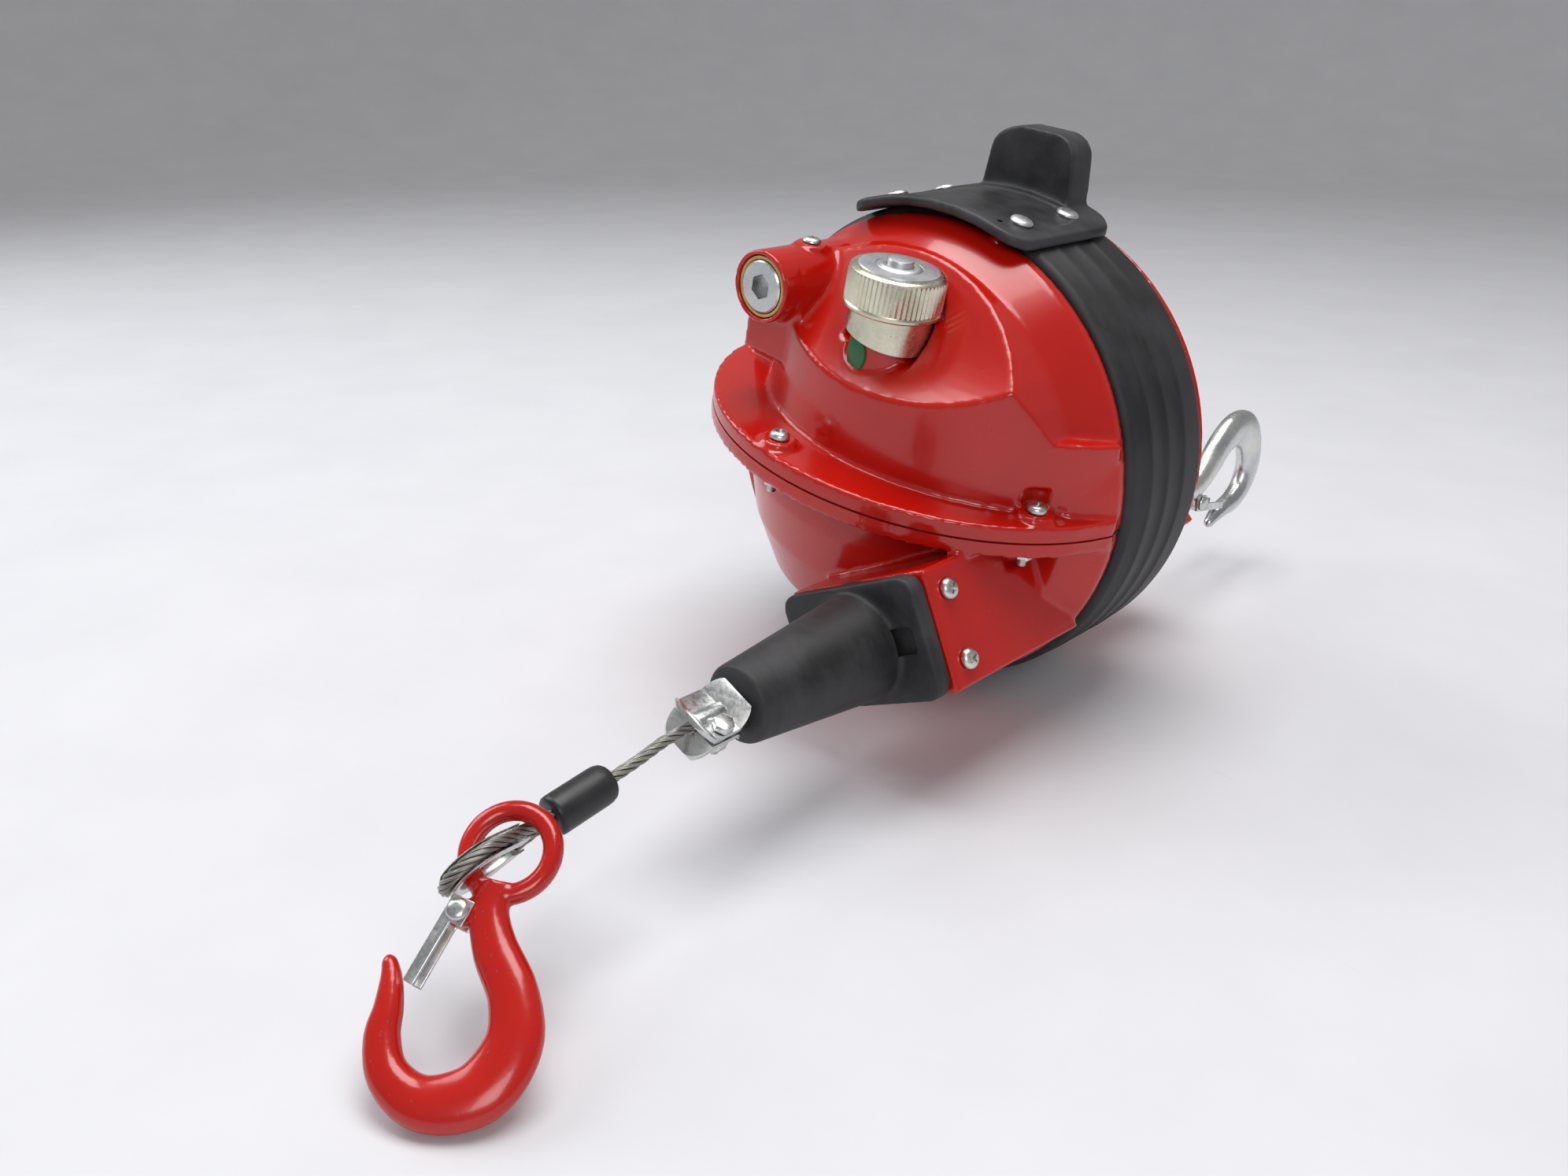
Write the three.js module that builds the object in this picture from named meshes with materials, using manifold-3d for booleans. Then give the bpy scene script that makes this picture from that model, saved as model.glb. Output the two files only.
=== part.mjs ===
// Spring balancer: a cast case holding a spring-wound cable drum, a rubber belt round its waist,
// a guided wire rope with a load hook, and a swivelling suspension hook behind.
// Units are millimetres, +Z is up and +Y runs along the load line towards the suspension hook.
// The balancer lies on its rubber belt; the origin is the middle of the facet it rests on.
// Lengths along Y are drawn from the belt's edge nearest the load hook, then shifted together.
import * as THREE from 'three';
import { mergeVertices } from 'three/addons/utils/BufferGeometryUtils.js';
import Module from 'manifold-3d';

const wasm = await Module();
wasm.setup();

// ---- driving dimensions ----
const GAP = 0.3;                 // clearance between pieces that touch
const ROLL = 12;                 // degrees the case leans about the load axis

const BELT_RADIUS = 122;         // rubber belt, outside
const BELT_WIDTH = 66;
const BELT_SIDES = 48;
const SIDES = 32;                // round parts of the case
const SEAT_RADIUS = 112;         // case under the belt
const RIM_RADIUS = 118;          // case rims either side of the belt
const RIM_WIDTH = 6;

const DRUM_Y = 15;               // drum axis, from the belt's near edge
const SPLIT_Z = 11;              // parting plane of the case, from the belt's centre
const FLANGE_RADIUS = 120;
const FLANGE_THICKNESS = 7;
const GASKET_THICKNESS = 1;
const SCREW_CIRCLE = 109;
const SCREW_ANGLES = [-30, -98, -164, 40, 90, 140];

const WALL_RADIUS = 108;         // upright wall of the raised upper case
const WALL_CENTRE = [8, 30];
const WALL_TOP = 53;
const RIDGE_Y = -27;
const RIDGE_RADIUS = 106;
const BACK_RADIUS = 98;          // raised part behind the belt
const BACK_TOP = 84;

const BOWL_RADIUS = 97;          // lower case
const BOWL_DEPTH = 94;

const LOAD_X = 65;               // load line, from the belt's centre
const LOAD_Z = -43;
const ROPE_RADIUS = 2.38;

const BOX_WIDTH = 84;            // rope outlet box
const BOX_HEIGHT = 56;
const BOX_TILT = 36;
const BOX_FRONT = -100;
const BUMPER_THICKNESS = 9;
const CONE_TIP_Y = -185;
const CONE_BASE_RADIUS = 25;
const CONE_TIP_RADIUS = 17;

const SHAFT_RADIUS = 10;
const SPRING_CASE_RADIUS = 84;
const SPRING_CASE_BOTTOM = -13.5;
const SPRING_CASE_TOP = 50;
const CASE_CLEARANCE = 4;        // round the turning drum and spring case
const ARBOR_RADIUS = 18;
const SPRING_STRIP = 1.6;
const SPRING_TURNS = 6;
const COVER_THICKNESS = 4;
const LOCK_HOLES = 8;

const WORM_X = -56;
const WORM_Z = 78;
const WORM_RADIUS = 10;
const WORM_HEAD_RADIUS = 12.2;
const WORM_FRONT = -77;
const WORM_SOCKET = 10;          // across the flats
const WHEEL_TEETH = 30;
const WHEEL_THICKNESS = 10;

const KNOB_X = 5;
const KNOB_Y = -55;
const KNOB_RADIUS = 22.5;
const KNOB_TOP = 105;
const KNURL_HEIGHT = 18;
const SKIRT_RADIUS = 19.5;
const BOSS_RADIUS = 16;
const PIN_RADIUS = 4.5;

const HANGER_BACK = 150;         // rear face of the hanger arm
const SHANK_RADIUS = 7.5;
const HOOK_LENGTH_SCALE = 1.15;  // suspension hook against the load hook

const EYE_CENTRE = [63.1, -300.4, 57.4];   // load hook eye

// ---- materials ----
const material = (color, metalness, roughness) =>
  new THREE.MeshStandardMaterial({ color, metalness, roughness });
const enamel = () => material(0xc41e12, 0, 0.25);
const rubber = () => material(0x1c1c1d, 0, 0.7);
const zinc = () => material(0xb9bcc0, 0.9, 0.35);
const steel = () => material(0x8e9196, 0.9, 0.4);
const brass = () => material(0xb08d3e, 0.9, 0.35);

// ---- solids ----
const rad = THREE.MathUtils.degToRad;

function signedVolume(geometry) {
  const p = geometry.getAttribute('position');
  const index = geometry.index;
  const a = new THREE.Vector3();
  const b = new THREE.Vector3();
  const c = new THREE.Vector3();
  let sum = 0;
  for (let i = 0; i < index.count; i += 3) {
    a.fromBufferAttribute(p, index.getX(i));
    b.fromBufferAttribute(p, index.getX(i + 1));
    c.fromBufferAttribute(p, index.getX(i + 2));
    sum += a.dot(b.cross(c));
  }
  return sum;
}

function solid(source) {
  if (source instanceof wasm.Manifold) return source;
  let geometry = source.clone();
  geometry.deleteAttribute('normal');
  geometry.deleteAttribute('uv');
  geometry = mergeVertices(geometry, 1e-4);
  const triVerts = new Uint32Array(geometry.index.array);
  if (signedVolume(geometry) < 0) {
    for (let i = 0; i < triVerts.length; i += 3) {
      [triVerts[i + 1], triVerts[i + 2]] = [triVerts[i + 2], triVerts[i + 1]];
    }
  }
  const vertProperties = new Float32Array(geometry.getAttribute('position').array);
  const mesh = new wasm.Mesh({ numProp: 3, vertProperties, triVerts });
  mesh.merge();
  return new wasm.Manifold(mesh);
}

function toGeometry(manifold) {
  const mesh = manifold.getMesh();
  const geometry = new THREE.BufferGeometry();
  geometry.setAttribute('position', new THREE.BufferAttribute(mesh.vertProperties, 3));
  geometry.setIndex(new THREE.BufferAttribute(mesh.triVerts, 1));
  geometry.computeVertexNormals();
  return geometry;
}

const join = (...parts) => parts.map(solid).reduce((sum, part) => sum.add(part));
const cut = (base, ...tools) => tools.map(solid).reduce((rest, tool) => rest.subtract(tool), solid(base));
const common = (...parts) => parts.map(solid).reduce((sum, part) => sum.intersect(part));

// rods and rings: from one height to another along Z, X or Y
function rodZ(radius, z0, z1, x = 0, y = 0, sides = 20, topRadius = radius) {
  return new THREE.CylinderGeometry(topRadius, radius, z1 - z0, sides)
    .rotateX(Math.PI / 2).translate(x, y, (z0 + z1) / 2);
}

function rodY(radius, y0, y1, x = 0, z = 0, sides = 20, endRadius = radius) {
  return new THREE.CylinderGeometry(endRadius, radius, y1 - y0, sides)
    .translate(x, (y0 + y1) / 2, z);
}

function rodX(radius, x0, x1, y = 0, z = 0, sides = 24) {
  return new THREE.CylinderGeometry(radius, radius, x1 - x0, sides)
    .rotateZ(-Math.PI / 2).translate((x0 + x1) / 2, y, z);
}

function box(x0, x1, y0, y1, z0, z1) {
  return new THREE.BoxGeometry(x1 - x0, y1 - y0, z1 - z0)
    .translate((x0 + x1) / 2, (y0 + y1) / 2, (z0 + z1) / 2);
}

// a profile of [radius, height] pairs turned about Z, or about Y with turnedY
function turned(profile, sides = 48) {
  const points = profile.map(([r, z]) => new THREE.Vector2(r, z));
  const closed = profile[0][0] > 0 || profile[profile.length - 1][0] > 0;
  if (closed) points.push(points[0].clone());
  return new THREE.LatheGeometry(points, sides);
}
const turnedY = (profile, sides) => turned(profile, sides);
const turnedZ = (profile, sides) => turned(profile, sides).rotateX(Math.PI / 2);

function prism(shape, depth, options = {}) {
  return new THREE.ExtrudeGeometry(shape, { depth, bevelEnabled: false, curveSegments: 12, ...options });
}

// a rounded plate in the XY plane, centred, from z = 0 up
function roundedPlate(width, height, corner, depth, bevel = 0) {
  const shape = new THREE.Shape();
  const w = width / 2 - bevel;
  const h = height / 2 - bevel;
  const r = corner - bevel;
  shape.absarc(w - r, h - r, r, 0, Math.PI / 2);
  shape.absarc(r - w, h - r, r, Math.PI / 2, Math.PI);
  shape.absarc(r - w, r - h, r, Math.PI, 1.5 * Math.PI);
  shape.absarc(w - r, r - h, r, 1.5 * Math.PI, 2 * Math.PI);
  const options = { curveSegments: 4, bevelEnabled: bevel > 0, bevelThickness: bevel, bevelSize: bevel,
    bevelSegments: 1 };
  return prism(shape, depth - 2 * bevel, options).translate(0, 0, bevel);
}

// ---- placing ----
const group = new THREE.Group();
const lying = new THREE.Group();              // everything, with the belt's middle over the origin
lying.position.y = -BELT_WIDTH / 2;
group.add(lying);
const caseFrame = new THREE.Group();          // leans with the case, centred in the belt
const BELT_CENTRE_Z = BELT_RADIUS * Math.cos(Math.PI / BELT_SIDES);
caseFrame.position.z = BELT_CENTRE_Z;
caseFrame.rotation.y = rad(ROLL);
lying.add(caseFrame);

function place(parent, name, shape, paint) {
  const geometry = shape instanceof wasm.Manifold ? toGeometry(shape) : shape;
  const mesh = new THREE.Mesh(geometry, paint);
  mesh.name = name;
  parent.add(mesh);
  return mesh;
}

function onCircle(radius, degrees) {
  return [radius * Math.cos(rad(degrees)), DRUM_Y + radius * Math.sin(rad(degrees))];
}

// ---- the case ----
const LOWER_TOP = SPLIT_Z - GASKET_THICKNESS / 2 - GAP;
const UPPER_BOTTOM = SPLIT_Z + GASKET_THICKNESS / 2 + GAP;
const RIM_FRONT = -RIM_WIDTH;
const RIM_BACK = BELT_WIDTH + RIM_WIDTH;
const PAD_RADIUS = 9;
const SCREW_RADIUS = 2.5;
const SCREW_HOLE = SCREW_RADIUS + 0.5;
const PAD_HEIGHT = 3;

// everything outside the belt's seat that the case must leave to the belt
function beltSpace() {
  const outside = rodY(200, 0, BELT_WIDTH, 0, 0, 48);
  return cut(outside, rodY(SEAT_RADIUS, -1, BELT_WIDTH + 1, 0, 0, BELT_SIDES));
}

// the seat, its two rims and the tapers that run from the rims to the case
function waist() {
  const taper = 20;
  const drop = 13;
  const r = RIM_RADIUS;
  return turnedY([
    [0, RIM_FRONT - taper], [r - drop, RIM_FRONT - taper], [r, RIM_FRONT],
    [r, -GAP], [SEAT_RADIUS, -GAP], [SEAT_RADIUS, BELT_WIDTH + GAP], [r, BELT_WIDTH + GAP],
    [r, RIM_BACK], [r - drop, RIM_BACK + taper], [0, RIM_BACK + taper],
  ], BELT_SIDES);
}

const half = (z0, z1) => box(-160, 160, -160, 200, z0, z1);

function flange(z0, z1) {
  return cut(rodZ(FLANGE_RADIUS, z0, z1, 0, DRUM_Y, SIDES), beltSpace(), rimSpace());
}

// the flange stays inside the rims where it passes them
function rimSpace() {
  const outside = rodY(200, RIM_FRONT, RIM_BACK, 0, 0, 48);
  return cut(outside, rodY(RIM_RADIUS, RIM_FRONT - 1, RIM_BACK + 1, 0, 0, BELT_SIDES));
}

function screwPads(z0, z1) {
  return SCREW_ANGLES.map((angle) => rodZ(PAD_RADIUS, z0, z1, ...onCircle(SCREW_CIRCLE, angle), 14));
}

// room for a driver above each screw and a spanner below each nut
function spotFaces(z0, z1) {
  return SCREW_ANGLES.map((angle) => rodZ(7.5, z0, z1, ...onCircle(SCREW_CIRCLE, angle), 14));
}

function screwHoles() {
  return SCREW_ANGLES.map((angle) => rodZ(SCREW_HOLE, -10, 40, ...onCircle(SCREW_CIRCLE, angle), 10));
}

// the sloping roof of the raised part, seen from the side: a hollow curve up to the ridge
function roofOutline(front) {
  const shape = new THREE.Shape();
  shape.moveTo(front, UPPER_BOTTOM);
  shape.lineTo(front, WALL_TOP);
  shape.lineTo(-80, WALL_TOP);
  shape.quadraticCurveTo(-50, 72, RIDGE_Y, RIDGE_RADIUS);
  shape.lineTo(0, RIDGE_RADIUS + 2);
  shape.lineTo(RIM_BACK, RIDGE_RADIUS + 2);
  shape.lineTo(RIM_BACK, UPPER_BOTTOM);
  return shape;
}

function raisedFront() {
  const wall = rodZ(WALL_RADIUS, UPPER_BOTTOM, 130, ...WALL_CENTRE, SIDES);
  const roof = prism(roofOutline(-95), 240).rotateZ(Math.PI / 2).rotateY(Math.PI / 2).translate(-120, 0, 0);
  const barrel = rodY(RIDGE_RADIUS, -100, RIM_FRONT + 1, 0, 0, BELT_SIDES);
  return common(wall, roof, join(barrel, box(-120, 120, -100, RIM_FRONT, 0, WALL_TOP)));
}

function raisedBack() {
  const dome = turnedZ([[0, UPPER_BOTTOM], [BACK_RADIUS, UPPER_BOTTOM], [BACK_RADIUS, 50],
    [BACK_RADIUS - 12, 70], [60, BACK_TOP], [0, BACK_TOP]], SIDES).translate(0, DRUM_Y, 0);
  return common(dome, box(-160, 160, RIM_BACK - 1, 200, 0, 130));
}

const SPOT_FACE_Z = 66;
const BOSS_TOP = 93;
const PIN_BORE_TOP = 73;
const WORM_BOSS_RADIUS = 17;
const BUSH_RADIUS = 14.5;
const WORM_BACK = 36;
const PLUG_Y = -46;

function wormBoss() {
  const barrel = rodY(WORM_BOSS_RADIUS, WORM_FRONT - 1, RIM_FRONT, WORM_X, WORM_Z, 24);
  const web = box(WORM_X - WORM_BOSS_RADIUS, WORM_X + WORM_BOSS_RADIUS, WORM_FRONT + 12, RIM_FRONT,
    WALL_TOP - 12, WORM_Z);
  const pad = rodZ(8, WORM_Z, WORM_Z + WORM_BOSS_RADIUS + 1, WORM_X, PLUG_Y, 14);
  return join(barrel, web, pad);
}

function wormBore() {
  const bush = rodY(BUSH_RADIUS + GAP, WORM_FRONT - 5, WORM_FRONT + 14, WORM_X, WORM_Z, 24);
  const thread = rodY(WORM_RADIUS + 0.8, WORM_FRONT, WORM_BACK + 1, WORM_X, WORM_Z, 16);
  return join(bush, thread);
}

const CAVITY_RADIUS = SPRING_CASE_RADIUS + CASE_CLEARANCE;
const WHEEL_BOTTOM = 73;
const WHEEL_RADIUS = -WORM_X - WORM_RADIUS - GAP;
const SHAFT_TOP = 92;

function upperCavity() {
  const top = SPRING_CASE_TOP + COVER_THICKNESS + 3;
  const wheelTop = WHEEL_BOTTOM + WHEEL_THICKNESS + 1.5;
  const wheelRoom = WHEEL_RADIUS + 1;
  return turnedZ([[0, 0], [CAVITY_RADIUS, 0], [CAVITY_RADIUS, top], [wheelRoom + 4, top],
    [wheelRoom, WHEEL_BOTTOM - 2], [wheelRoom, wheelTop], [SHAFT_RADIUS + GAP, wheelTop],
    [SHAFT_RADIUS + GAP, SHAFT_TOP], [0, SHAFT_TOP]], SIDES).translate(0, DRUM_Y, 0);
}

function upperCase() {
  const body = join(common(waist(), half(UPPER_BOTTOM, 130)), raisedFront(), raisedBack(),
    flange(UPPER_BOTTOM, UPPER_BOTTOM + FLANGE_THICKNESS),
    ...screwPads(UPPER_BOTTOM, UPPER_BOTTOM + FLANGE_THICKNESS + PAD_HEIGHT), wormBoss());
  const spotFace = join(rodZ(SKIRT_RADIUS + 0.7, SPOT_FACE_Z, 130, KNOB_X, KNOB_Y, 28),
    rodZ(KNOB_RADIUS + 1.5, KNOB_TOP - KNURL_HEIGHT - 3, 130, KNOB_X, KNOB_Y, 28));
  const boss = rodZ(BOSS_RADIUS, SPRING_CASE_TOP + COVER_THICKNESS + 6, BOSS_TOP, KNOB_X, KNOB_Y, 24);
  const pinBore = rodZ(PIN_RADIUS + GAP, 40, BOSS_TOP + 5, KNOB_X, KNOB_Y, 12);
  const springBore = rodZ(9, PIN_BORE_TOP, BOSS_TOP + 5, KNOB_X, KNOB_Y, 16);
  return cut(join(cut(body, spotFace), boss), upperCavity(), wormBore(), pinBore, springBore,
    dotPocket(), plugHole(), beltSpace(), ...screwHoles(),
    ...spotFaces(UPPER_BOTTOM + FLANGE_THICKNESS + PAD_HEIGHT, UPPER_BOTTOM + 19));
}

const DOT_TURN = 15;
const DOT_Z = 67;
const DOT_RADIUS = 5.5;
const DOT_DEPTH = 2;

function dotDisc(radius, from, to) {
  return rodY(radius, -to, -from, 0, 0, 16).rotateZ(rad(-DOT_TURN)).translate(KNOB_X, KNOB_Y, DOT_Z);
}
const dotPocket = () => dotDisc(DOT_RADIUS + GAP, BOSS_RADIUS - DOT_DEPTH, BOSS_RADIUS + 6);
const plugHole = () => rodZ(3 + GAP, WORM_Z + 12, 110, WORM_X, PLUG_Y, 10);

function outletBox(width, height, front, back) {
  return box(-width / 2, width / 2, front, back, -height / 2, height / 2)
    .rotateY(rad(-BOX_TILT)).translate(LOAD_X, 0, LOAD_Z);
}

const DRUM_TOP = -15;
const DRUM_BOTTOM = -81;

function lowerCavity() {
  return turnedZ([[0, 40], [CAVITY_RADIUS, 40], [CAVITY_RADIUS, SPRING_CASE_BOTTOM - 2],
    [78, SPRING_CASE_BOTTOM - 3], [66.5, DRUM_BOTTOM - 3], [0, DRUM_BOTTOM - 3]], SIDES)
    .translate(0, DRUM_Y, 0);
}

const GUIDE_RADIUS = 14;
const GUIDE_LENGTH = 30;
const ROPE_BORE = 8;
const ARM_HALF = 19;
const NUT_POCKET_FRONT = 108;
const NUT_POCKET_BACK = 130;

function hangerArm() {
  const arm = box(-ARM_HALF, ARM_HALF, RIM_BACK - 1, HANGER_BACK, -ARM_HALF, ARM_HALF);
  const tail = rodY(ARM_HALF - 1, HANGER_BACK - 1, HANGER_BACK + 4, 0, 0, 24, SHANK_RADIUS + 5);
  return join(arm, tail).rotate([0, BOX_TILT, 0]).translate([LOAD_X, 0, LOAD_Z]);
}

function hangerCuts() {
  const pocket = box(-12, ARM_HALF + 5, NUT_POCKET_FRONT, NUT_POCKET_BACK, -12, 12)
    .rotateY(rad(BOX_TILT)).translate(LOAD_X, 0, LOAD_Z);
  const bore = rodY(SHANK_RADIUS + GAP, NUT_POCKET_FRONT + 5, HANGER_BACK + 10, LOAD_X, LOAD_Z, 16);
  return [pocket, bore];
}

function guideScrewHoles() {
  return guideScrewPlaces().map(([side, offset, y]) =>
    rodX(SCREW_HOLE, side * 20, side * 60, y, offset, 10).rotateY(rad(-BOX_TILT))
      .translate(LOAD_X, 0, LOAD_Z));
}

function lowerCase() {
  const bowl = turnedZ([[0, LOWER_TOP], [BOWL_RADIUS, LOWER_TOP], [BOWL_RADIUS - 1, -20], [90, -45],
    [76, -74], [54, -BOWL_DEPTH], [0, -BOWL_DEPTH]], SIDES).translate(0, DRUM_Y, 0);
  const body = join(bowl, common(waist(), half(-130, LOWER_TOP)),
    flange(LOWER_TOP - FLANGE_THICKNESS, LOWER_TOP),
    ...screwPads(LOWER_TOP - FLANGE_THICKNESS - 1, LOWER_TOP),
    common(outletBox(BOX_WIDTH, BOX_HEIGHT, BOX_FRONT, RIM_FRONT), half(-160, LOWER_TOP)), hangerArm());
  const guidePocket = rodY(GUIDE_RADIUS + GAP, BOX_FRONT - 1, BOX_FRONT + GUIDE_LENGTH + 2 * GAP,
    LOAD_X, LOAD_Z, 20);
  const ropeWay = rodY(ROPE_BORE, BOX_FRONT, DRUM_Y, LOAD_X, LOAD_Z, 12);
  const shaftSeat = rodZ(SHAFT_RADIUS + GAP, -BOWL_DEPTH - 1, -60, 0, DRUM_Y, 24);
  return cut(body, lowerCavity(), guidePocket, ropeWay, shaftSeat, ...hangerCuts(), beltSpace(),
    ...screwHoles(), ...guideScrewHoles(), ...spotFaces(LOWER_TOP - 19, LOWER_TOP - FLANGE_THICKNESS - 1));
}

function gasket() {
  const sheet = flange(SPLIT_Z - GASKET_THICKNESS / 2, SPLIT_Z + GASKET_THICKNESS / 2);
  return cut(sheet, rodZ(CAVITY_RADIUS + 2, 0, 30, 0, DRUM_Y, SIDES), ...screwHoles());
}

place(caseFrame, 'upper_case', upperCase(), enamel());
place(caseFrame, 'lower_case', lowerCase(), enamel());
place(caseFrame, 'case_gasket', gasket(), rubber());

// ---- fasteners ----
const HEAD_RADIUS = 4.8;
const HEAD_HEIGHT = 3.4;

// a pan-head cross-recess screw standing on z = 0 with its shank below
function panScrew(shank) {
  const body = turnedZ([[0, -shank], [SCREW_RADIUS, -shank], [SCREW_RADIUS, 0], [HEAD_RADIUS, 0],
    [HEAD_RADIUS, 1.6], [3.4, 3], [0, HEAD_HEIGHT]], 10);
  const bar = (turn) => box(-2.6, 2.6, -0.5, 0.5, 1.6, 5).rotateZ(turn);
  return cut(body, bar(0), bar(Math.PI / 2));
}

// a hex nut standing on z = 0, bored to clear its screw
function hexNut(flats, height, bore) {
  const nut = new THREE.CylinderGeometry(flats / Math.sqrt(3), flats / Math.sqrt(3), height, 6)
    .rotateX(Math.PI / 2).translate(0, 0, height / 2);
  return cut(nut, rodZ(bore, -1, height + 1, 0, 0, 12));
}

const NUT_FLATS = 8;
const NUT_HEIGHT = 4;
const SCREW_SEAT = UPPER_BOTTOM + FLANGE_THICKNESS + PAD_HEIGHT + GAP;
const NUT_SEAT = LOWER_TOP - FLANGE_THICKNESS - 1 - GAP;
SCREW_ANGLES.forEach((angle, i) => {
  const [x, y] = onCircle(SCREW_CIRCLE, angle);
  const screw = place(caseFrame, `flange_screw_${i + 1}`,
    panScrew(SCREW_SEAT - NUT_SEAT + NUT_HEIGHT + 4), zinc());
  screw.position.set(x, y, SCREW_SEAT);
  screw.rotation.z = rad(angle);
  const nut = place(caseFrame, `flange_nut_${i + 1}`, hexNut(NUT_FLATS, NUT_HEIGHT, SCREW_RADIUS + GAP),
    zinc());
  nut.position.set(x, y, NUT_SEAT - NUT_HEIGHT);
});

function guideScrewPlaces() {
  const places = [];
  for (const side of [1, -1]) {
    for (const offset of [-16, 16]) places.push([side, offset, BOX_FRONT + 12]);
  }
  return places;
}
guideScrewPlaces().forEach(([side, offset, y], i) => {
  const shape = panScrew(16);
  const screw = place(caseFrame, `guide_screw_${i + 1}`, shape, zinc());
  const frame = new THREE.Group();
  frame.position.set(LOAD_X, 0, LOAD_Z);
  frame.rotation.y = rad(-BOX_TILT);
  screw.position.set(side * (BOX_WIDTH / 2 + GAP), y, offset);
  screw.rotation.y = side * Math.PI / 2;
  frame.add(screw);
  caseFrame.add(frame);
});

// ---- belt ----
function belt() {
  const inner = SEAT_RADIUS + GAP;
  const bevel = 4;
  return turnedY([[inner, GAP], [BELT_RADIUS - bevel, GAP], [BELT_RADIUS, bevel],
    [BELT_RADIUS, BELT_WIDTH - bevel], [BELT_RADIUS - bevel, BELT_WIDTH - GAP],
    [inner, BELT_WIDTH - GAP]], BELT_SIDES).rotateY(Math.PI / BELT_SIDES);
}
const beltMesh = place(lying, 'rubber_belt', solid(belt()), rubber());
beltMesh.position.z = BELT_CENTRE_Z;

const PLATE_THICKNESS = 5;
const PLATE_HALF_ANGLE = 25;
const PLATE_TURN = -7;           // the plate's middle, from the drum axis towards +X
const PLATE_FRONT = -16;
const PLATE_BACK = 68;
const PLATE_INNER = BELT_RADIUS + GAP;
const RIVET_RADIUS = 5.5;

// an angular slice of a ring about Y, from one angle to the other (from +Z towards +X)
function ringSlice(inner, outer, y0, y1, from, to, steps = 8) {
  const shape = new THREE.Shape();
  const at = (r, a) => [r * Math.sin(rad(a)), r * Math.cos(rad(a))];
  shape.moveTo(...at(inner, from));
  for (let i = 1; i <= steps; i += 1) shape.lineTo(...at(inner, from + ((to - from) * i) / steps));
  for (let i = steps; i >= 0; i -= 1) shape.lineTo(...at(outer, from + ((to - from) * i) / steps));
  return prism(shape, y1 - y0).rotateX(Math.PI / 2).translate(0, y1, 0);
}

// the rounded outline that the plate is trimmed to, seen along the drum axis
function plateTrim() {
  const arc = 2 * BELT_RADIUS * Math.sin(rad(PLATE_HALF_ANGLE));
  const middle = (PLATE_FRONT + PLATE_BACK) / 2;
  return roundedPlate(arc, PLATE_BACK - PLATE_FRONT, 14, 80).translate(0, middle, 80)
    .rotateY(rad(PLATE_TURN));
}

const TAB_WIDTH = 52;
const TAB_HEIGHT = 31;
const TAB_THICKNESS = 18;

function closureTab() {
  const shape = new THREE.Shape();
  shape.moveTo(-TAB_WIDTH / 2, 0);
  shape.lineTo(TAB_WIDTH / 2, 0);
  shape.lineTo(TAB_WIDTH / 2 - 2, TAB_HEIGHT - 10);
  shape.quadraticCurveTo(TAB_WIDTH / 2 - 4, TAB_HEIGHT - 2, TAB_WIDTH / 4, TAB_HEIGHT);
  shape.lineTo(-TAB_WIDTH / 6, TAB_HEIGHT);
  shape.quadraticCurveTo(-TAB_WIDTH / 2 + 3, TAB_HEIGHT - 3, -TAB_WIDTH / 2 + 2, TAB_HEIGHT - 12);
  return prism(shape, TAB_THICKNESS, { curveSegments: 5 }).rotateX(Math.PI / 2)
    .translate(0, PLATE_BACK, BELT_RADIUS + 3).rotateY(rad(PLATE_TURN + 3));
}

function rivetPlaces() {
  const places = [];
  for (const angle of [-17, 17]) {
    for (const y of [6, 44]) places.push([PLATE_TURN + angle, y]);
  }
  return places;
}

function closure() {
  const curved = ringSlice(PLATE_INNER, PLATE_INNER + PLATE_THICKNESS, PLATE_FRONT, PLATE_BACK,
    PLATE_TURN - PLATE_HALF_ANGLE, PLATE_TURN + PLATE_HALF_ANGLE);
  const plate = join(common(curved, plateTrim()), closureTab());
  const seats = rivetPlaces().map(([angle, y]) => rodZ(3 + GAP, 80, 160, 0, 0, 12)
    .translate(0, y, 0).rotateY(rad(angle)));
  return cut(plate, ...seats);
}
place(caseFrame, 'belt_closure', closure(), rubber());

rivetPlaces().forEach(([angle, y], i) => {
  const shape = turnedZ([[0, -PLATE_THICKNESS], [3, -PLATE_THICKNESS], [3, GAP],
    [RIVET_RADIUS, GAP], [RIVET_RADIUS - 1, 1.6], [0, 2]], 12);
  const rivet = place(caseFrame, `closure_rivet_${i + 1}`, shape, zinc());
  rivet.rotation.y = rad(angle);
  const r = PLATE_INNER + PLATE_THICKNESS;
  rivet.position.set(r * Math.sin(rad(angle)), y, r * Math.cos(rad(angle)));
});

// ---- rope outlet ----
const PLATE_CORNER = 8;
const CONE_START = BOX_FRONT - BUMPER_THICKNESS;

function bumperCone() {
  const back = BOX_FRONT - GAP;
  const plate = roundedPlate(BOX_WIDTH - 2, BOX_HEIGHT, PLATE_CORNER, BUMPER_THICKNESS, 1.5)
    .rotateX(Math.PI / 2).rotateY(rad(-BOX_TILT)).translate(LOAD_X, back, LOAD_Z);
  const cone = rodY(CONE_TIP_RADIUS, CONE_TIP_Y, CONE_START, LOAD_X, LOAD_Z, 24, CONE_BASE_RADIUS);
  const root = rodY(CONE_BASE_RADIUS, CONE_START - 4, back - 1, LOAD_X, LOAD_Z, 24, CONE_BASE_RADIUS + 4);
  const bore = rodY(ROPE_RADIUS + 1.6, CONE_TIP_Y - 1, back + 1, LOAD_X, LOAD_Z, 12);
  return cut(join(plate, cone, root), bore);
}
place(caseFrame, 'bumper_cone', bumperCone(), rubber());

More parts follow.
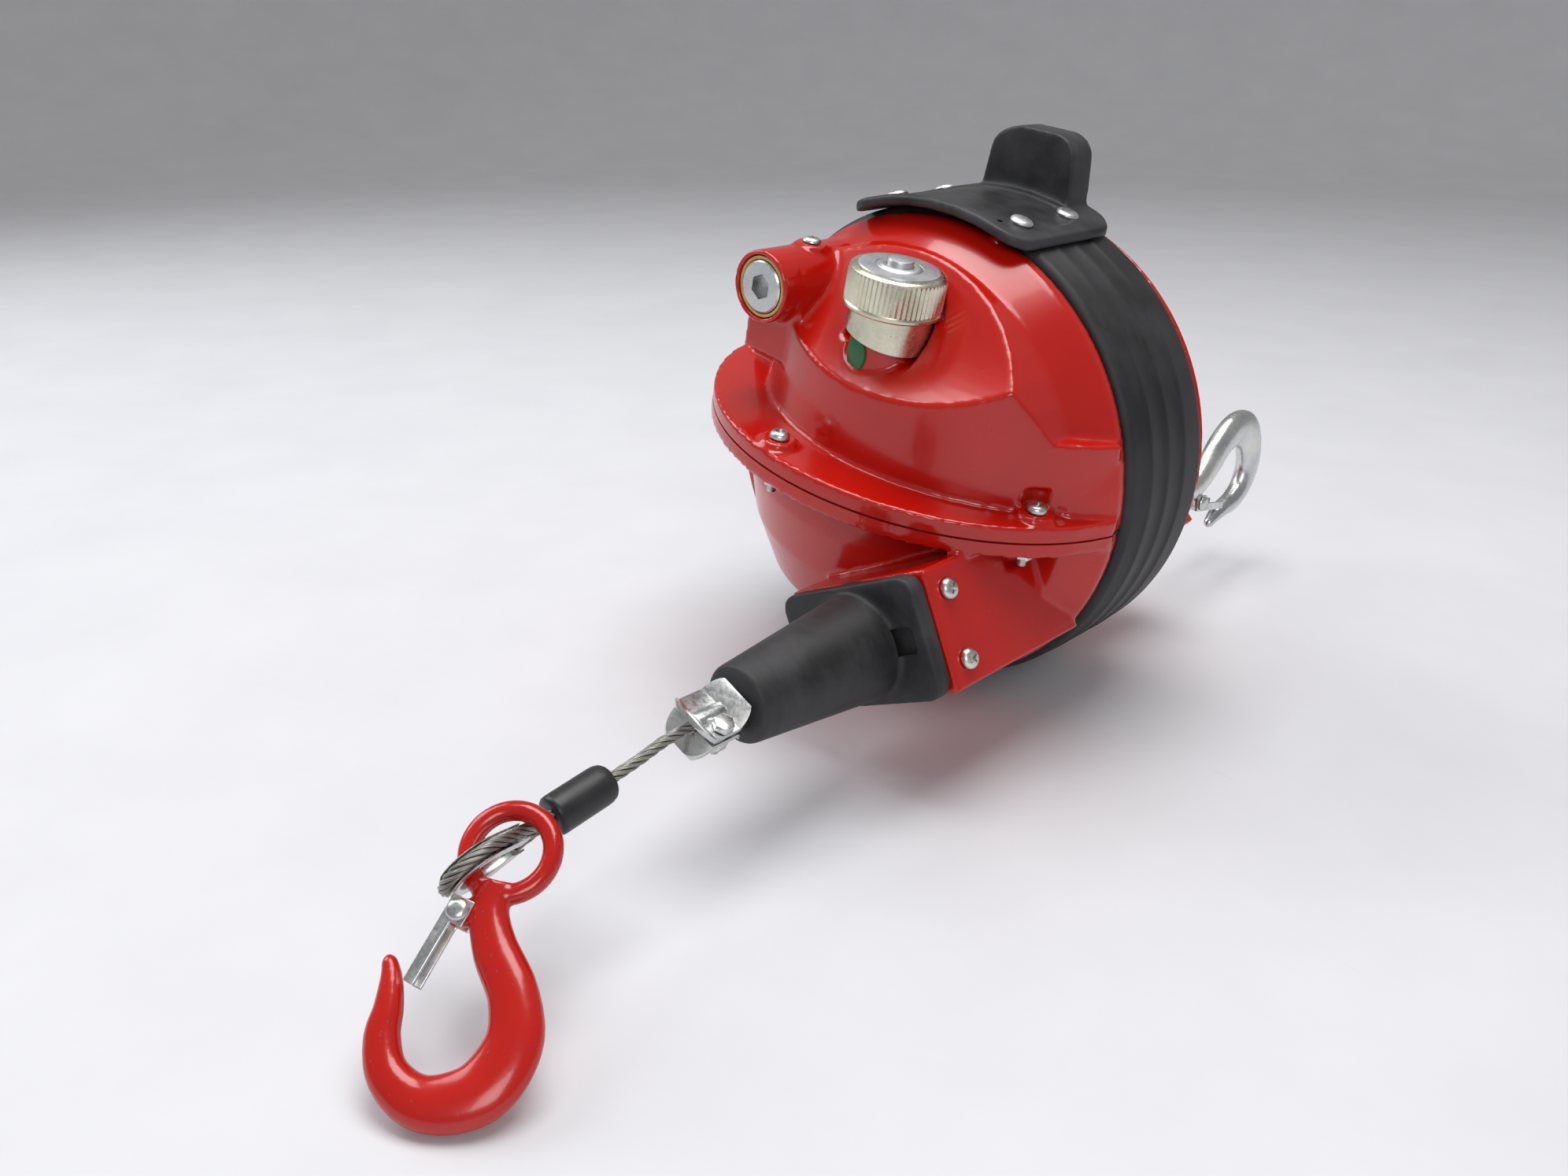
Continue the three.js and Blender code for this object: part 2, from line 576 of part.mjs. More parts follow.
function wireGuide() {
  const front = BOX_FRONT + GAP;
  return cut(rodY(GUIDE_RADIUS, front, front + GUIDE_LENGTH, LOAD_X, LOAD_Z, 24),
    rodY(ROPE_RADIUS + 1, front - 1, front + GUIDE_LENGTH + 1, LOAD_X, LOAD_Z, 16));
}
place(caseFrame, 'wire_guide', wireGuide(), material(0xd8d4c4, 0, 0.5));


// ---- turning parts inside the case, all about the drum axis ----
const drumFrame = new THREE.Group();
drumFrame.position.y = DRUM_Y;
caseFrame.add(drumFrame);

const ROPE_AXIS = LOAD_X;                 // rope centre, from the drum axis
const DRUM_TAPER = 0.12;
const BUSH_WALL = 2;
const grooveRadius = (z) => ROPE_AXIS - ROPE_RADIUS - GAP + (z - LOAD_Z) * DRUM_TAPER;

function mainShaft() {
  return turnedZ([[0, 0.5 - BOWL_DEPTH], [SHAFT_RADIUS, 0.5 - BOWL_DEPTH], [SHAFT_RADIUS, SHAFT_TOP - 1.5],
    [SHAFT_RADIUS - 1, SHAFT_TOP - 0.5], [0, SHAFT_TOP - 0.5]], 24);
}

function drum() {
  const bore = SHAFT_RADIUS + 2 * GAP + BUSH_WALL;
  return turnedZ([[bore, DRUM_BOTTOM], [grooveRadius(DRUM_BOTTOM) + 3, DRUM_BOTTOM],
    [grooveRadius(DRUM_BOTTOM) + 3, DRUM_BOTTOM + 3], [grooveRadius(DRUM_BOTTOM + 3), DRUM_BOTTOM + 3],
    [grooveRadius(DRUM_TOP - 3), DRUM_TOP - 3], [75, DRUM_TOP - 3], [75, DRUM_TOP],
    [40, DRUM_TOP], [36, DRUM_TOP - 6], [40, DRUM_BOTTOM + 20], [30, DRUM_BOTTOM + 6],
    [bore + 8, DRUM_BOTTOM + 10], [bore + 8, DRUM_TOP - 3], [bore, DRUM_TOP - 3]], 28);
}

function woundRope() {
  const z0 = DRUM_BOTTOM + 3.5;
  const z1 = DRUM_TOP - 3.5;
  const rope = 2 * ROPE_RADIUS;
  return turnedZ([[grooveRadius(z0) + GAP, z0], [grooveRadius(z0) + GAP + rope, z0],
    [grooveRadius(z1) + GAP + rope, z1], [grooveRadius(z1) + GAP, z1]], 28);
}

function drumBush() {
  const bore = SHAFT_RADIUS + GAP;
  return turnedZ([[bore, DRUM_BOTTOM], [bore + BUSH_WALL, DRUM_BOTTOM],
    [bore + BUSH_WALL, DRUM_TOP - 3], [bore, DRUM_TOP - 3]], 20);
}

const CASE_WALL = 3;
function springCase() {
  const bottom = SPRING_CASE_BOTTOM;
  const hub = ARBOR_RADIUS + 0.5;
  return turnedZ([[hub, bottom], [SPRING_CASE_RADIUS, bottom], [SPRING_CASE_RADIUS, SPRING_CASE_TOP],
    [SPRING_CASE_RADIUS - CASE_WALL, SPRING_CASE_TOP], [SPRING_CASE_RADIUS - CASE_WALL, bottom + CASE_WALL],
    [hub, bottom + CASE_WALL]], 32);
}

const LOCK_CIRCLE = Math.hypot(KNOB_X, DRUM_Y - KNOB_Y);
const LOCK_START = Math.atan2(KNOB_Y - DRUM_Y, KNOB_X);
const LOCK_HOLE = PIN_RADIUS + 1;
function springCover() {
  const z0 = SPRING_CASE_TOP + GAP;
  const z1 = z0 + COVER_THICKNESS;
  const holes = [];
  for (let i = 0; i < LOCK_HOLES; i += 1) {
    const angle = LOCK_START + (i / LOCK_HOLES) * 2 * Math.PI;
    holes.push(rodZ(LOCK_HOLE, z0 - 1, z1 + 1, LOCK_CIRCLE * Math.cos(angle),
      LOCK_CIRCLE * Math.sin(angle), 10));
  }
  return cut(rodZ(SPRING_CASE_RADIUS, z0, z1, 0, 0, 32),
    rodZ(ARBOR_RADIUS + 0.5, z0 - 1, z1 + 1, 0, 0, 20), ...holes);
}

// a flat strip wound from the arbor out to the spring case
function mainspring() {
  const stepsPerTurn = 14;
  const steps = SPRING_TURNS * stepsPerTurn;
  const inner = ARBOR_RADIUS + 2 * GAP;
  const outer = SPRING_CASE_RADIUS - CASE_WALL - GAP - SPRING_STRIP;
  const shape = new THREE.Shape();
  const at = (i, side) => {
    const angle = (i / stepsPerTurn) * 2 * Math.PI;
    const r = inner + ((outer - inner) * i) / steps + side;
    return [r * Math.cos(angle), r * Math.sin(angle)];
  };
  shape.moveTo(...at(0, 0));
  for (let i = 1; i <= steps; i += 1) shape.lineTo(...at(i, 0));
  for (let i = steps; i >= 0; i -= 1) shape.lineTo(...at(i, SPRING_STRIP));
  const bottom = SPRING_CASE_BOTTOM + CASE_WALL + 1;
  return prism(shape, SPRING_CASE_TOP - 2 - bottom).translate(0, 0, bottom);
}

const NECK_RADIUS = 14;
function springArbor() {
  const bore = SHAFT_RADIUS + GAP;
  const bottom = SPRING_CASE_BOTTOM + 0.5;
  return turnedZ([[bore, bottom], [ARBOR_RADIUS, bottom], [ARBOR_RADIUS, WHEEL_BOTTOM - GAP],
    [NECK_RADIUS, WHEEL_BOTTOM - GAP], [NECK_RADIUS, WHEEL_BOTTOM + WHEEL_THICKNESS],
    [bore, WHEEL_BOTTOM + WHEEL_THICKNESS]], 20);
}

function wormWheel() {
  const shape = new THREE.Shape();
  const root = WHEEL_RADIUS - 2.5;
  for (let i = 0; i < WHEEL_TEETH; i += 1) {
    for (const [share, r] of [[0, root], [0.3, root], [0.42, WHEEL_RADIUS], [0.88, WHEEL_RADIUS]]) {
      const angle = ((i + share) / WHEEL_TEETH) * 2 * Math.PI;
      const point = [r * Math.cos(angle), r * Math.sin(angle)];
      if (i === 0 && share === 0) shape.moveTo(...point);
      else shape.lineTo(...point);
    }
  }
  const hole = new THREE.Path();
  hole.absarc(0, 0, NECK_RADIUS + GAP, 0, 2 * Math.PI);
  shape.holes.push(hole);
  return prism(shape, WHEEL_THICKNESS).translate(0, 0, WHEEL_BOTTOM);
}

place(drumFrame, 'main_shaft', mainShaft(), steel());
place(drumFrame, 'drum', drum(), material(0xa8abad, 0.7, 0.45));
place(drumFrame, 'rope_wound', woundRope(), steel());
place(drumFrame, 'drum_bush', drumBush(), brass());
place(drumFrame, 'spring_case', springCase(), steel());
place(drumFrame, 'spring_cover', springCover(), steel());
place(drumFrame, 'mainspring', mainspring(), steel());
place(drumFrame, 'spring_arbor', springArbor(), steel());
place(drumFrame, 'worm_wheel', wormWheel(), brass());

// ---- tension worm ----
function wormShaft() {
  const head = rodY(WORM_HEAD_RADIUS, WORM_FRONT, WORM_FRONT + 11, 0, 0, 20);
  const neck = rodY(6, WORM_FRONT + 10, WORM_BACK, 0, 0, 12);
  const threads = [];
  for (let y = -3; y < WORM_BACK - 3; y += 6) threads.push(rodY(WORM_RADIUS, y, y + 3, 0, 0, 12));
  const socket = new THREE.CylinderGeometry(WORM_SOCKET / Math.sqrt(3), WORM_SOCKET / Math.sqrt(3), 8, 6)
    .translate(0, WORM_FRONT + 3, 0);
  return cut(join(head, neck, ...threads), socket);
}

function wormBush() {
  return cut(rodY(BUSH_RADIUS, WORM_FRONT + 1, WORM_FRONT + 13, 0, 0, 24),
    rodY(WORM_HEAD_RADIUS + GAP, WORM_FRONT, WORM_FRONT + 11.5, 0, 0, 24),
    rodY(6 + GAP, WORM_FRONT, WORM_FRONT + 20, 0, 0, 16));
}
const wormFrame = new THREE.Group();
wormFrame.position.set(WORM_X, 0, WORM_Z);
caseFrame.add(wormFrame);
place(wormFrame, 'worm_shaft', wormShaft(), steel());
place(wormFrame, 'worm_bush', wormBush(), brass());
const plug = place(wormFrame, 'worm_plug', turnedZ([[0, -4], [3, -4], [3, GAP], [4.5, GAP], [3.6, 1.8],
  [0, 2.4]], 16), zinc());
plug.position.set(0, PLUG_Y, WORM_BOSS_RADIUS + 1);

// ---- drum lock ----
const lockFrame = new THREE.Group();
lockFrame.position.set(KNOB_X, KNOB_Y, 0);
caseFrame.add(lockFrame);
const STUB_RADIUS = 6;

function lockKnob() {
  const knurlBottom = KNOB_TOP - KNURL_HEIGHT;
  const body = turnedZ([[0, SPOT_FACE_Z + 3], [SKIRT_RADIUS, SPOT_FACE_Z + 3], [SKIRT_RADIUS, knurlBottom],
    [KNOB_RADIUS, knurlBottom], [KNOB_RADIUS, KNOB_TOP - 1.5], [KNOB_RADIUS - 1.5, KNOB_TOP],
    [STUB_RADIUS + 4, KNOB_TOP], [STUB_RADIUS + 3, KNOB_TOP + 1.5], [0, KNOB_TOP + 1.5]], 28);
  const slant = box(-40, 40, -40, 40, -20, 0).rotateY(rad(10)).translate(0, 0, SPOT_FACE_Z + 8);
  const hollow = rodZ(BOSS_RADIUS + 2 * GAP, 0, KNOB_TOP - 4, 0, 0, 24);
  return cut(body, slant, hollow, rodZ(STUB_RADIUS + GAP, 60, 120, 0, 0, 16));
}

function lockPin() {
  const tip = SPRING_CASE_TOP + GAP + COVER_THICKNESS + 2;
  return turnedZ([[0, tip], [PIN_RADIUS - 0.8, tip], [PIN_RADIUS, tip + 1], [PIN_RADIUS, BOSS_TOP + 2],
    [STUB_RADIUS, BOSS_TOP + 2], [STUB_RADIUS, KNOB_TOP + 3.2], [STUB_RADIUS - 0.8, KNOB_TOP + 4],
    [0, KNOB_TOP + 4]], 16);
}

class CoilCurve extends THREE.Curve {
  constructor(radius, bottom, height, turns) {
    super();
    Object.assign(this, { radius, bottom, height, turns });
  }

  getPoint(t, target = new THREE.Vector3()) {
    const angle = 2 * Math.PI * this.turns * t;
    return target.set(this.radius * Math.cos(angle), this.radius * Math.sin(angle),
      this.bottom + this.height * t);
  }
}

function ringShape(radius, sides) {
  const shape = new THREE.Shape();
  for (let i = 0; i < sides; i += 1) {
    const angle = (i / sides) * 2 * Math.PI;
    const point = [radius * Math.cos(angle), radius * Math.sin(angle)];
    if (i === 0) shape.moveTo(...point);
    else shape.lineTo(...point);
  }
  return shape;
}

function tube(curve, radius, steps, sides) {
  return new THREE.ExtrudeGeometry(ringShape(radius, sides), { extrudePath: curve, steps,
    bevelEnabled: false });
}

function lockSpring() {
  const bottom = PIN_BORE_TOP + 1.2;
  return tube(new CoilCurve(6.6, bottom, 9, 4), 0.8, 36, 4);
}
place(lockFrame, 'lock_knob', lockKnob(), zinc());
place(lockFrame, 'lock_pin', lockPin(), steel());
place(lockFrame, 'lock_spring', solid(lockSpring()), steel());
place(caseFrame, 'indicator_dot', dotDisc(DOT_RADIUS, BOSS_RADIUS - DOT_DEPTH + GAP, BOSS_RADIUS + 0.3),
  material(0x1f8a3c, 0, 0.4));

// ---- hooks ----
// Both hooks are drawn alike: eye at the origin, bowl along -Z, opening towards -X.
const EYE_RADIUS = 15;
const EYE_BAR = 3.8;
const LATCH_PIVOT = [-9, -24];
const LATCH_LENGTH = 27;
const LATCH_TURN = 11;
const EAR_THICKNESS = 6;

// centre line of the forging as [x, z, half width, half thickness], from the neck to the tip
const HOOK_STATIONS = [[-1, -11, 6.5, 5], [0, -21, 7, 5.4], [6, -32, 8, 5.8], [18, -46, 8.6, 6],
  [23, -60, 9.8, 6], [17.3, -76, 10.6, 6], [0.5, -83.3, 9.8, 6], [-13.5, -78, 8.3, 5.8],
  [-20, -67.5, 6.9, 5.4], [-21.5, -58.5, 6, 5], [-24.5, -49, 4.4, 4.2], [-28.5, -42, 2.2, 2.4]];

// an oval bar along the stations, drawn in the XZ plane and closed at both ends
function forging(stations, steps, sides) {
  const line = new THREE.CatmullRomCurve3(stations.map(([x, z]) => new THREE.Vector3(x, 0, z)));
  const size = new THREE.CatmullRomCurve3(stations.map(([, , w, t]) => new THREE.Vector3(w, t, 0)));
  const positions = [];
  const index = [];
  const point = new THREE.Vector3();
  const half = new THREE.Vector3();
  const tangent = new THREE.Vector3();
  for (let i = 0; i <= steps; i += 1) {
    line.getPoint(i / steps, point);
    line.getTangent(i / steps, tangent);
    size.getPoint(i / steps, half);
    for (let j = 0; j < sides; j += 1) {
      const angle = (j / sides) * 2 * Math.PI;
      const across = half.x * Math.cos(angle);
      positions.push(point.x - tangent.z * across, half.y * Math.sin(angle), point.z + tangent.x * across);
      if (i === steps) continue;
      const a = i * sides + j;
      const b = i * sides + ((j + 1) % sides);
      index.push(a, b, a + sides, b, b + sides, a + sides);
    }
  }
  const last = steps * sides;
  for (let j = 1; j < sides - 1; j += 1) {
    index.push(0, j + 1, j);
    index.push(last, last + j, last + j + 1);
  }
  const geometry = new THREE.BufferGeometry();
  geometry.setAttribute('position', new THREE.Float32BufferAttribute(positions, 3));
  geometry.setIndex(index);
  return geometry;
}

function hookBody(scale, shank) {
  const blade = forging(HOOK_STATIONS, 22, 8);
  const [px, pz] = LATCH_PIVOT;
  const ear = rodY(5, -EAR_THICKNESS / 2, EAR_THICKNESS / 2, px, pz, 12);
  const clearance = 7.5;
  const room = [-1, 1].map((side) => rodY(clearance, Math.min(side * EAR_THICKNESS / 2, side * 20),
    Math.max(side * EAR_THICKNESS / 2, side * 20), px, pz, 14));
  const pinHole = rodY(2 + GAP, -20, 20, px, pz, 10);
  const head = shank > 0
    ? rodZ(SHANK_RADIUS / scale, -20, shank / scale, 0, 0, 16)
    : new THREE.TorusGeometry(EYE_RADIUS, EYE_BAR, 8, 20).rotateX(Math.PI / 2);
  const eyeHole = rodY(EYE_RADIUS - EYE_BAR, -20, 20, 0, 0, 16);
  const trimmed = shank > 0 ? blade : cut(blade, eyeHole);
  return cut(join(trimmed, head, ear), pinHole, ...room).scale([scale, scale, scale]);
}

// the latch: a folded channel over the ear, reaching the inside of the tip
function latchPlaced(scale) {
  const wide = EAR_THICKNESS + 3;
  const inner = EAR_THICKNESS + 2 * GAP;
  const length = LATCH_LENGTH;
  const outer = box(-4.5, 4, -wide / 2, wide / 2, -length, 4.5);
  const hollow = join(box(-3.2, 9, -inner / 2, inner / 2, -length - 1, 9),
    box(-9, 9, -inner / 2, inner / 2, -6, 9));
  const pinHole = rodY(2 + GAP, -20, 20, 0, 0, 12);
  const trim = box(-0.5, 9, -9, 9, -60, -4.5);
  const shape = cut(outer, hollow, pinHole, trim);
  return shape.rotate([0, LATCH_TURN, 0]).translate([LATCH_PIVOT[0], 0, LATCH_PIVOT[1]])
    .scale([scale, scale, scale]);
}

function latchRivet(scale) {
  const half = (EAR_THICKNESS + 3) / 2 + GAP;
  const rod = rodY(2, -half - 0.5, half + 0.5, 0, 0, 12);
  const heads = [-1, 1].map((side) => rodY(side > 0 ? 4 : 2.6, side > 0 ? half : -half - 2,
    side > 0 ? half + 2 : -half, 0, 0, 14, side > 0 ? 2.6 : 4));
  return join(rod, ...heads).translate([LATCH_PIVOT[0], 0, LATCH_PIVOT[1]]).scale([scale, scale, scale]);
}

const loadHook = new THREE.Group();
const hookDown = new THREE.Vector3(0.3632, -0.7165, -0.5956).normalize();
const hookFace = new THREE.Vector3(0.3712, -0.475, 0.7978);
hookFace.addScaledVector(hookDown, -hookFace.dot(hookDown)).normalize();
const hookAcross = new THREE.Vector3().crossVectors(hookFace, hookDown);
loadHook.quaternion.setFromRotationMatrix(new THREE.Matrix4().makeBasis(
  hookAcross, hookFace.clone().negate(), hookDown.clone().negate()));
loadHook.position.set(...EYE_CENTRE);
lying.add(loadHook);
place(loadHook, 'load_hook', hookBody(1, 0), enamel());
place(loadHook, 'load_latch', latchPlaced(1), zinc());
place(loadHook, 'load_latch_rivet', latchRivet(1), zinc());

// the suspension hook turns in the hanger arm on its own shank
const suspension = new THREE.Group();
const SUSPENSION_EYE_Y = HANGER_BACK + 26;
const SHANK_LENGTH = SUSPENSION_EYE_Y - NUT_POCKET_FRONT - 4;
suspension.position.set(LOAD_X, SUSPENSION_EYE_Y, LOAD_Z);
suspension.rotation.set(Math.PI / 2, 0, 0);
const suspensionTurn = new THREE.Group();
suspensionTurn.rotation.z = rad(90 + ROLL);
suspension.add(suspensionTurn);
caseFrame.add(suspension);
place(suspensionTurn, 'suspension_hook', hookBody(HOOK_LENGTH_SCALE, SHANK_LENGTH), zinc());
place(suspensionTurn, 'suspension_latch', latchPlaced(HOOK_LENGTH_SCALE), zinc());
place(suspensionTurn, 'suspension_latch_rivet', latchRivet(HOOK_LENGTH_SCALE), zinc());

const NUT_THICKNESS = 9;
const nut = place(caseFrame, 'swivel_nut', hexNut(19, NUT_THICKNESS, SHANK_RADIUS + GAP), zinc());
nut.rotation.x = -Math.PI / 2;
nut.position.set(LOAD_X, NUT_POCKET_BACK - 3 - NUT_THICKNESS - GAP, LOAD_Z);
place(caseFrame, 'swivel_washer', cut(
  rodY(10.5, NUT_POCKET_BACK - 3, NUT_POCKET_BACK - GAP, LOAD_X, LOAD_Z, 24),
  rodY(SHANK_RADIUS + GAP, 100, 160, LOAD_X, LOAD_Z, 24)), brass());

// ---- rope and what is on it ----
// The rope leaves the case along the load line and sags a little towards its sleeve.
const ropePoints = [[54.6, -11, 66.3], [54.6, -110, 66.3], [54.6, -205, 66.3], [54.65, -222, 65.6],
  [54.8, -236, 62.9], [54.9, -250, 60.6], [55.1, -260.2, 59.3], [55.2, -268.1, 58.3]];
const SLEEVE_MOUTH = [55.5, -284, 56.3];
const SLEEVE_NECK = 6;             // bare strands between the thimble and the sleeve
const SLEEVE_LENGTH = 34;
const SLEEVE_RADIUS = 8;
const ROPE_SIDES = 8;

const asPoints = (list) => list.map((p) => new THREE.Vector3(...p));
const ropeCurve = new THREE.CatmullRomCurve3(asPoints(ropePoints));
place(lying, 'rope', solid(tube(ropeCurve, ROPE_RADIUS, 24, ROPE_SIDES)), steel());

const STOPPER_LENGTH = 29;
const STOPPER_Y = CONE_TIP_Y - STOPPER_LENGTH / 2 - 0.5;
const PLATE_GAUGE = 2;
const BOLT_OFFSET = 8;

function stopperPlate(side) {
  const end = STOPPER_LENGTH / 2;
  const flat = 7;
  const shape = new THREE.Shape();
  shape.moveTo(-flat, 1);
  shape.lineTo(flat, 1);
  shape.lineTo(end, 8);
  shape.lineTo(end - 1.4, 9.4);
  shape.lineTo(flat - 0.8, 1 + PLATE_GAUGE);
  shape.lineTo(0.8 - flat, 1 + PLATE_GAUGE);
  shape.lineTo(1.4 - end, 9.4);
  shape.lineTo(-end, 8);
  const width = 24;
  const bent = prism(shape, width).rotateX(Math.PI / 2).rotateZ(Math.PI / 2)
    .translate(-width / 2, 0, 0);
  const trim = roundedPlate(width, STOPPER_LENGTH, 8, 20);
  const rib = common(rodY(ROPE_RADIUS + GAP + PLATE_GAUGE, -flat, flat, 0, 0, 20),
    box(-12, 12, -flat, flat, 1, 12));
  const plate = cut(join(common(bent, trim), rib), rodY(ROPE_RADIUS + GAP, -20, 20, 0, 0, 20),
    rodZ(3, -5, 15, BOLT_OFFSET, 0, 16));
  return side > 0 ? plate : plate.mirror([0, 0, 1]);
}

const stopper = new THREE.Group();
stopper.position.set(ropePoints[0][0], STOPPER_Y, ropePoints[0][2]);
stopper.rotation.y = rad(25);
lying.add(stopper);
place(stopper, 'stopper_plate_1', stopperPlate(1), zinc());
place(stopper, 'stopper_plate_2', stopperPlate(-1), zinc());
const clampTop = 1 + PLATE_GAUGE + GAP;
place(stopper, 'stopper_bolt', join(rodZ(SCREW_RADIUS, -clampTop - 8, clampTop, BOLT_OFFSET, 0, 12),
  rodZ(4.6, clampTop, clampTop + 3.5, BOLT_OFFSET, 0, 6)), zinc());
const stopperNut = place(stopper, 'stopper_nut', hexNut(NUT_FLATS, NUT_HEIGHT, SCREW_RADIUS + GAP),
  zinc());
stopperNut.position.set(BOLT_OFFSET, 0, -clampTop - NUT_HEIGHT);

// sleeve, thimble and spliced eye share a frame whose +Y runs back along the rope
const endFrame = new THREE.Group();
const alongRope = new THREE.Vector3(-0.0175, 0.992, 0.1255).normalize();
const loopFace = new THREE.Vector3(-0.816, -0.062, 0.583);
loopFace.addScaledVector(alongRope, -loopFace.dot(alongRope)).normalize();
endFrame.quaternion.setFromRotationMatrix(new THREE.Matrix4().makeBasis(
  new THREE.Vector3().crossVectors(alongRope, loopFace), alongRope, loopFace));
endFrame.position.set(...SLEEVE_MOUTH);
lying.add(endFrame);

const STRAND_OFFSET = ROPE_RADIUS + 0.25;
const SPLICE_END = 14;

function sleeve() {
  const mouth = SLEEVE_NECK;
  const outer = turnedY([[0, mouth], [SLEEVE_RADIUS - 1, mouth], [SLEEVE_RADIUS, mouth + 1],
    [SLEEVE_RADIUS, SLEEVE_LENGTH - 4], [SLEEVE_RADIUS - 1.5, SLEEVE_LENGTH - 1],
    [SLEEVE_RADIUS - 4, SLEEVE_LENGTH], [0, SLEEVE_LENGTH]], 16);
  const bore = ROPE_RADIUS + GAP;
  const strands = [-1, 1].map((side) => rodY(bore, -1, SPLICE_END + 1, side * STRAND_OFFSET, 0, 12));
  return cut(outer, rodY(bore, SPLICE_END, SLEEVE_LENGTH + 1, 0, 0, 12), ...strands,
    box(-STRAND_OFFSET, STRAND_OFFSET, -1, SPLICE_END + 1, -bore, bore));
}

const THIMBLE_INSIDE = 9;
const THIMBLE_GAUGE = 1.5;
const THIMBLE_CENTRE = -26;
const THIMBLE_POINT = 25;          // half angle at the pointed end
const THIMBLE_HEIGHT = 7.4;
const LOOP_RADIUS = THIMBLE_INSIDE + THIMBLE_GAUGE + ROPE_RADIUS + GAP;

// a teardrop round the thimble's centre, drawn as a prism of this height
function teardrop(radius, z0, z1) {
  const shape = new THREE.Shape();
  shape.moveTo(0, THIMBLE_CENTRE + radius / Math.sin(rad(THIMBLE_POINT)));
  shape.absarc(0, THIMBLE_CENTRE, radius, rad(180 - THIMBLE_POINT), rad(360 + THIMBLE_POINT), false);
  return prism(shape, z1 - z0, { curveSegments: 12 }).translate(0, 0, z0);
}

function thimble() {
  const h = THIMBLE_HEIGHT / 2;
  const outer = THIMBLE_INSIDE + THIMBLE_GAUGE;
  const lip = outer + 2.6;
  const groove = ROPE_RADIUS + GAP;
  const channel = join(teardrop(outer, -h, h), teardrop(lip, -h, -groove), teardrop(lip, groove, h));
  const front = box(-20, 20, -60, -0.8, -10, 10);
  return cut(common(channel, front), teardrop(THIMBLE_INSIDE, -10, 10));
}

function loopCurve() {
  const right = [[STRAND_OFFSET, SPLICE_END - 1, 0], [STRAND_OFFSET, 4.5, 0], [4, -2.4, 0]];
  const points = [...right];
  for (let a = THIMBLE_POINT; a >= -180 - THIMBLE_POINT; a -= (180 + 2 * THIMBLE_POINT) / 12) {
    points.push([LOOP_RADIUS * Math.cos(rad(a)), THIMBLE_CENTRE + LOOP_RADIUS * Math.sin(rad(a)), 0]);
  }
  right.reverse().forEach(([x, y, z]) => points.push([-x, y, z]));
  return new THREE.CatmullRomCurve3(asPoints(points), false, 'centripetal');
}

place(endFrame, 'rope_sleeve', sleeve(), rubber());
place(endFrame, 'thimble', thimble(), zinc());
place(endFrame, 'rope_eye', solid(tube(loopCurve(), ROPE_RADIUS, 28, ROPE_SIDES)), steel());

export default group;
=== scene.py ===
# %% [markdown]
# # A spring balancer
# A spring balancer holds the weight of a hanging tool. Its red cast case hides a drum of wire rope
# and a flat spring. The CAD frame holds its sizes and joints, so every piece here is drawn in the
# frame's metres and stays inside it.

# %% Load the frame
import math

import bmesh
import bpy
import numpy as np
from mathutils import Matrix, Vector


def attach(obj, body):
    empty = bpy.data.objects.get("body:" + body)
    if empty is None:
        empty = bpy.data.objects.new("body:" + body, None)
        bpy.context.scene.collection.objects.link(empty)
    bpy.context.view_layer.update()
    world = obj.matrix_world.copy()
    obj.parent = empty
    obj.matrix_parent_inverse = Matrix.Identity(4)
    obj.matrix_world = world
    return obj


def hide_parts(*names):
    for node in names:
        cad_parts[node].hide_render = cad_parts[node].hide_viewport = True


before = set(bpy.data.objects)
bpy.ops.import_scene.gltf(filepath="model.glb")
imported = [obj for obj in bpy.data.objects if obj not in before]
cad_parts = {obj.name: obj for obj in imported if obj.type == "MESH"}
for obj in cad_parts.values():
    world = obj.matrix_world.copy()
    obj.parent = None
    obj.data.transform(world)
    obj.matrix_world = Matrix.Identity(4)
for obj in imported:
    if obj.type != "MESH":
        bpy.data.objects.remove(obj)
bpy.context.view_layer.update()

# %% [markdown]
# The CAD draws the balancer in millimetres in a few nested places: everything lying on the belt,
# the case leaning 12 degrees, and then the knob, the screw and the hooks. The same places as
# matrices let each piece be drawn about its own axis and put straight where it belongs.

# %% Places
MM = 0.001
MILLIMETRES = Matrix.Scale(MM, 4)
LEAN = 12
BELT_RADIUS = 122
BELT_WIDTH = 66
ROPE_RADIUS = 2.38


def shift(x, y, z):
    return Matrix.Translation((x, y, z))


def turn(degrees, axis):
    return Matrix.Rotation(math.radians(degrees), 4, axis)


def basis(x, y, z, origin):
    rows = Matrix((x, y, z)).transposed().to_4x4()
    return shift(*origin) @ rows


LYING = MILLIMETRES @ shift(0, -BELT_WIDTH / 2, 0)
BELT_CENTRE = BELT_RADIUS * math.cos(math.pi / 48)
CASE = LYING @ shift(0, 0, BELT_CENTRE) @ turn(LEAN, "Y")
LOAD_LINE = CASE @ shift(65, 0, -43)
KNOB = CASE @ shift(5, -55, 0)
WORM = CASE @ shift(-56, 0, 78)

along = Vector((-0.0175, 0.992, 0.1255)).normalized()
loop_face = Vector((-0.816, -0.062, 0.583))
loop_face = (loop_face - along * loop_face.dot(along)).normalized()
ROPE_END = LYING @ basis(along.cross(loop_face), along, loop_face, (55.5, -284, 56.3))

hook_down = Vector((0.3632, -0.7165, -0.5956)).normalized()
hook_face = Vector((0.3712, -0.475, 0.7978))
hook_face = (hook_face - hook_down * hook_face.dot(hook_down)).normalized()
LOAD_HOOK = LYING @ basis(hook_face.cross(hook_down), -hook_face, -hook_down,
                          (63.1, -300.4, 57.4))
SUSPENSION = CASE @ shift(65, 176, -43) @ turn(90, "X") @ turn(102, "Z")
print("load hook eye at", LOAD_HOOK.translation[:])

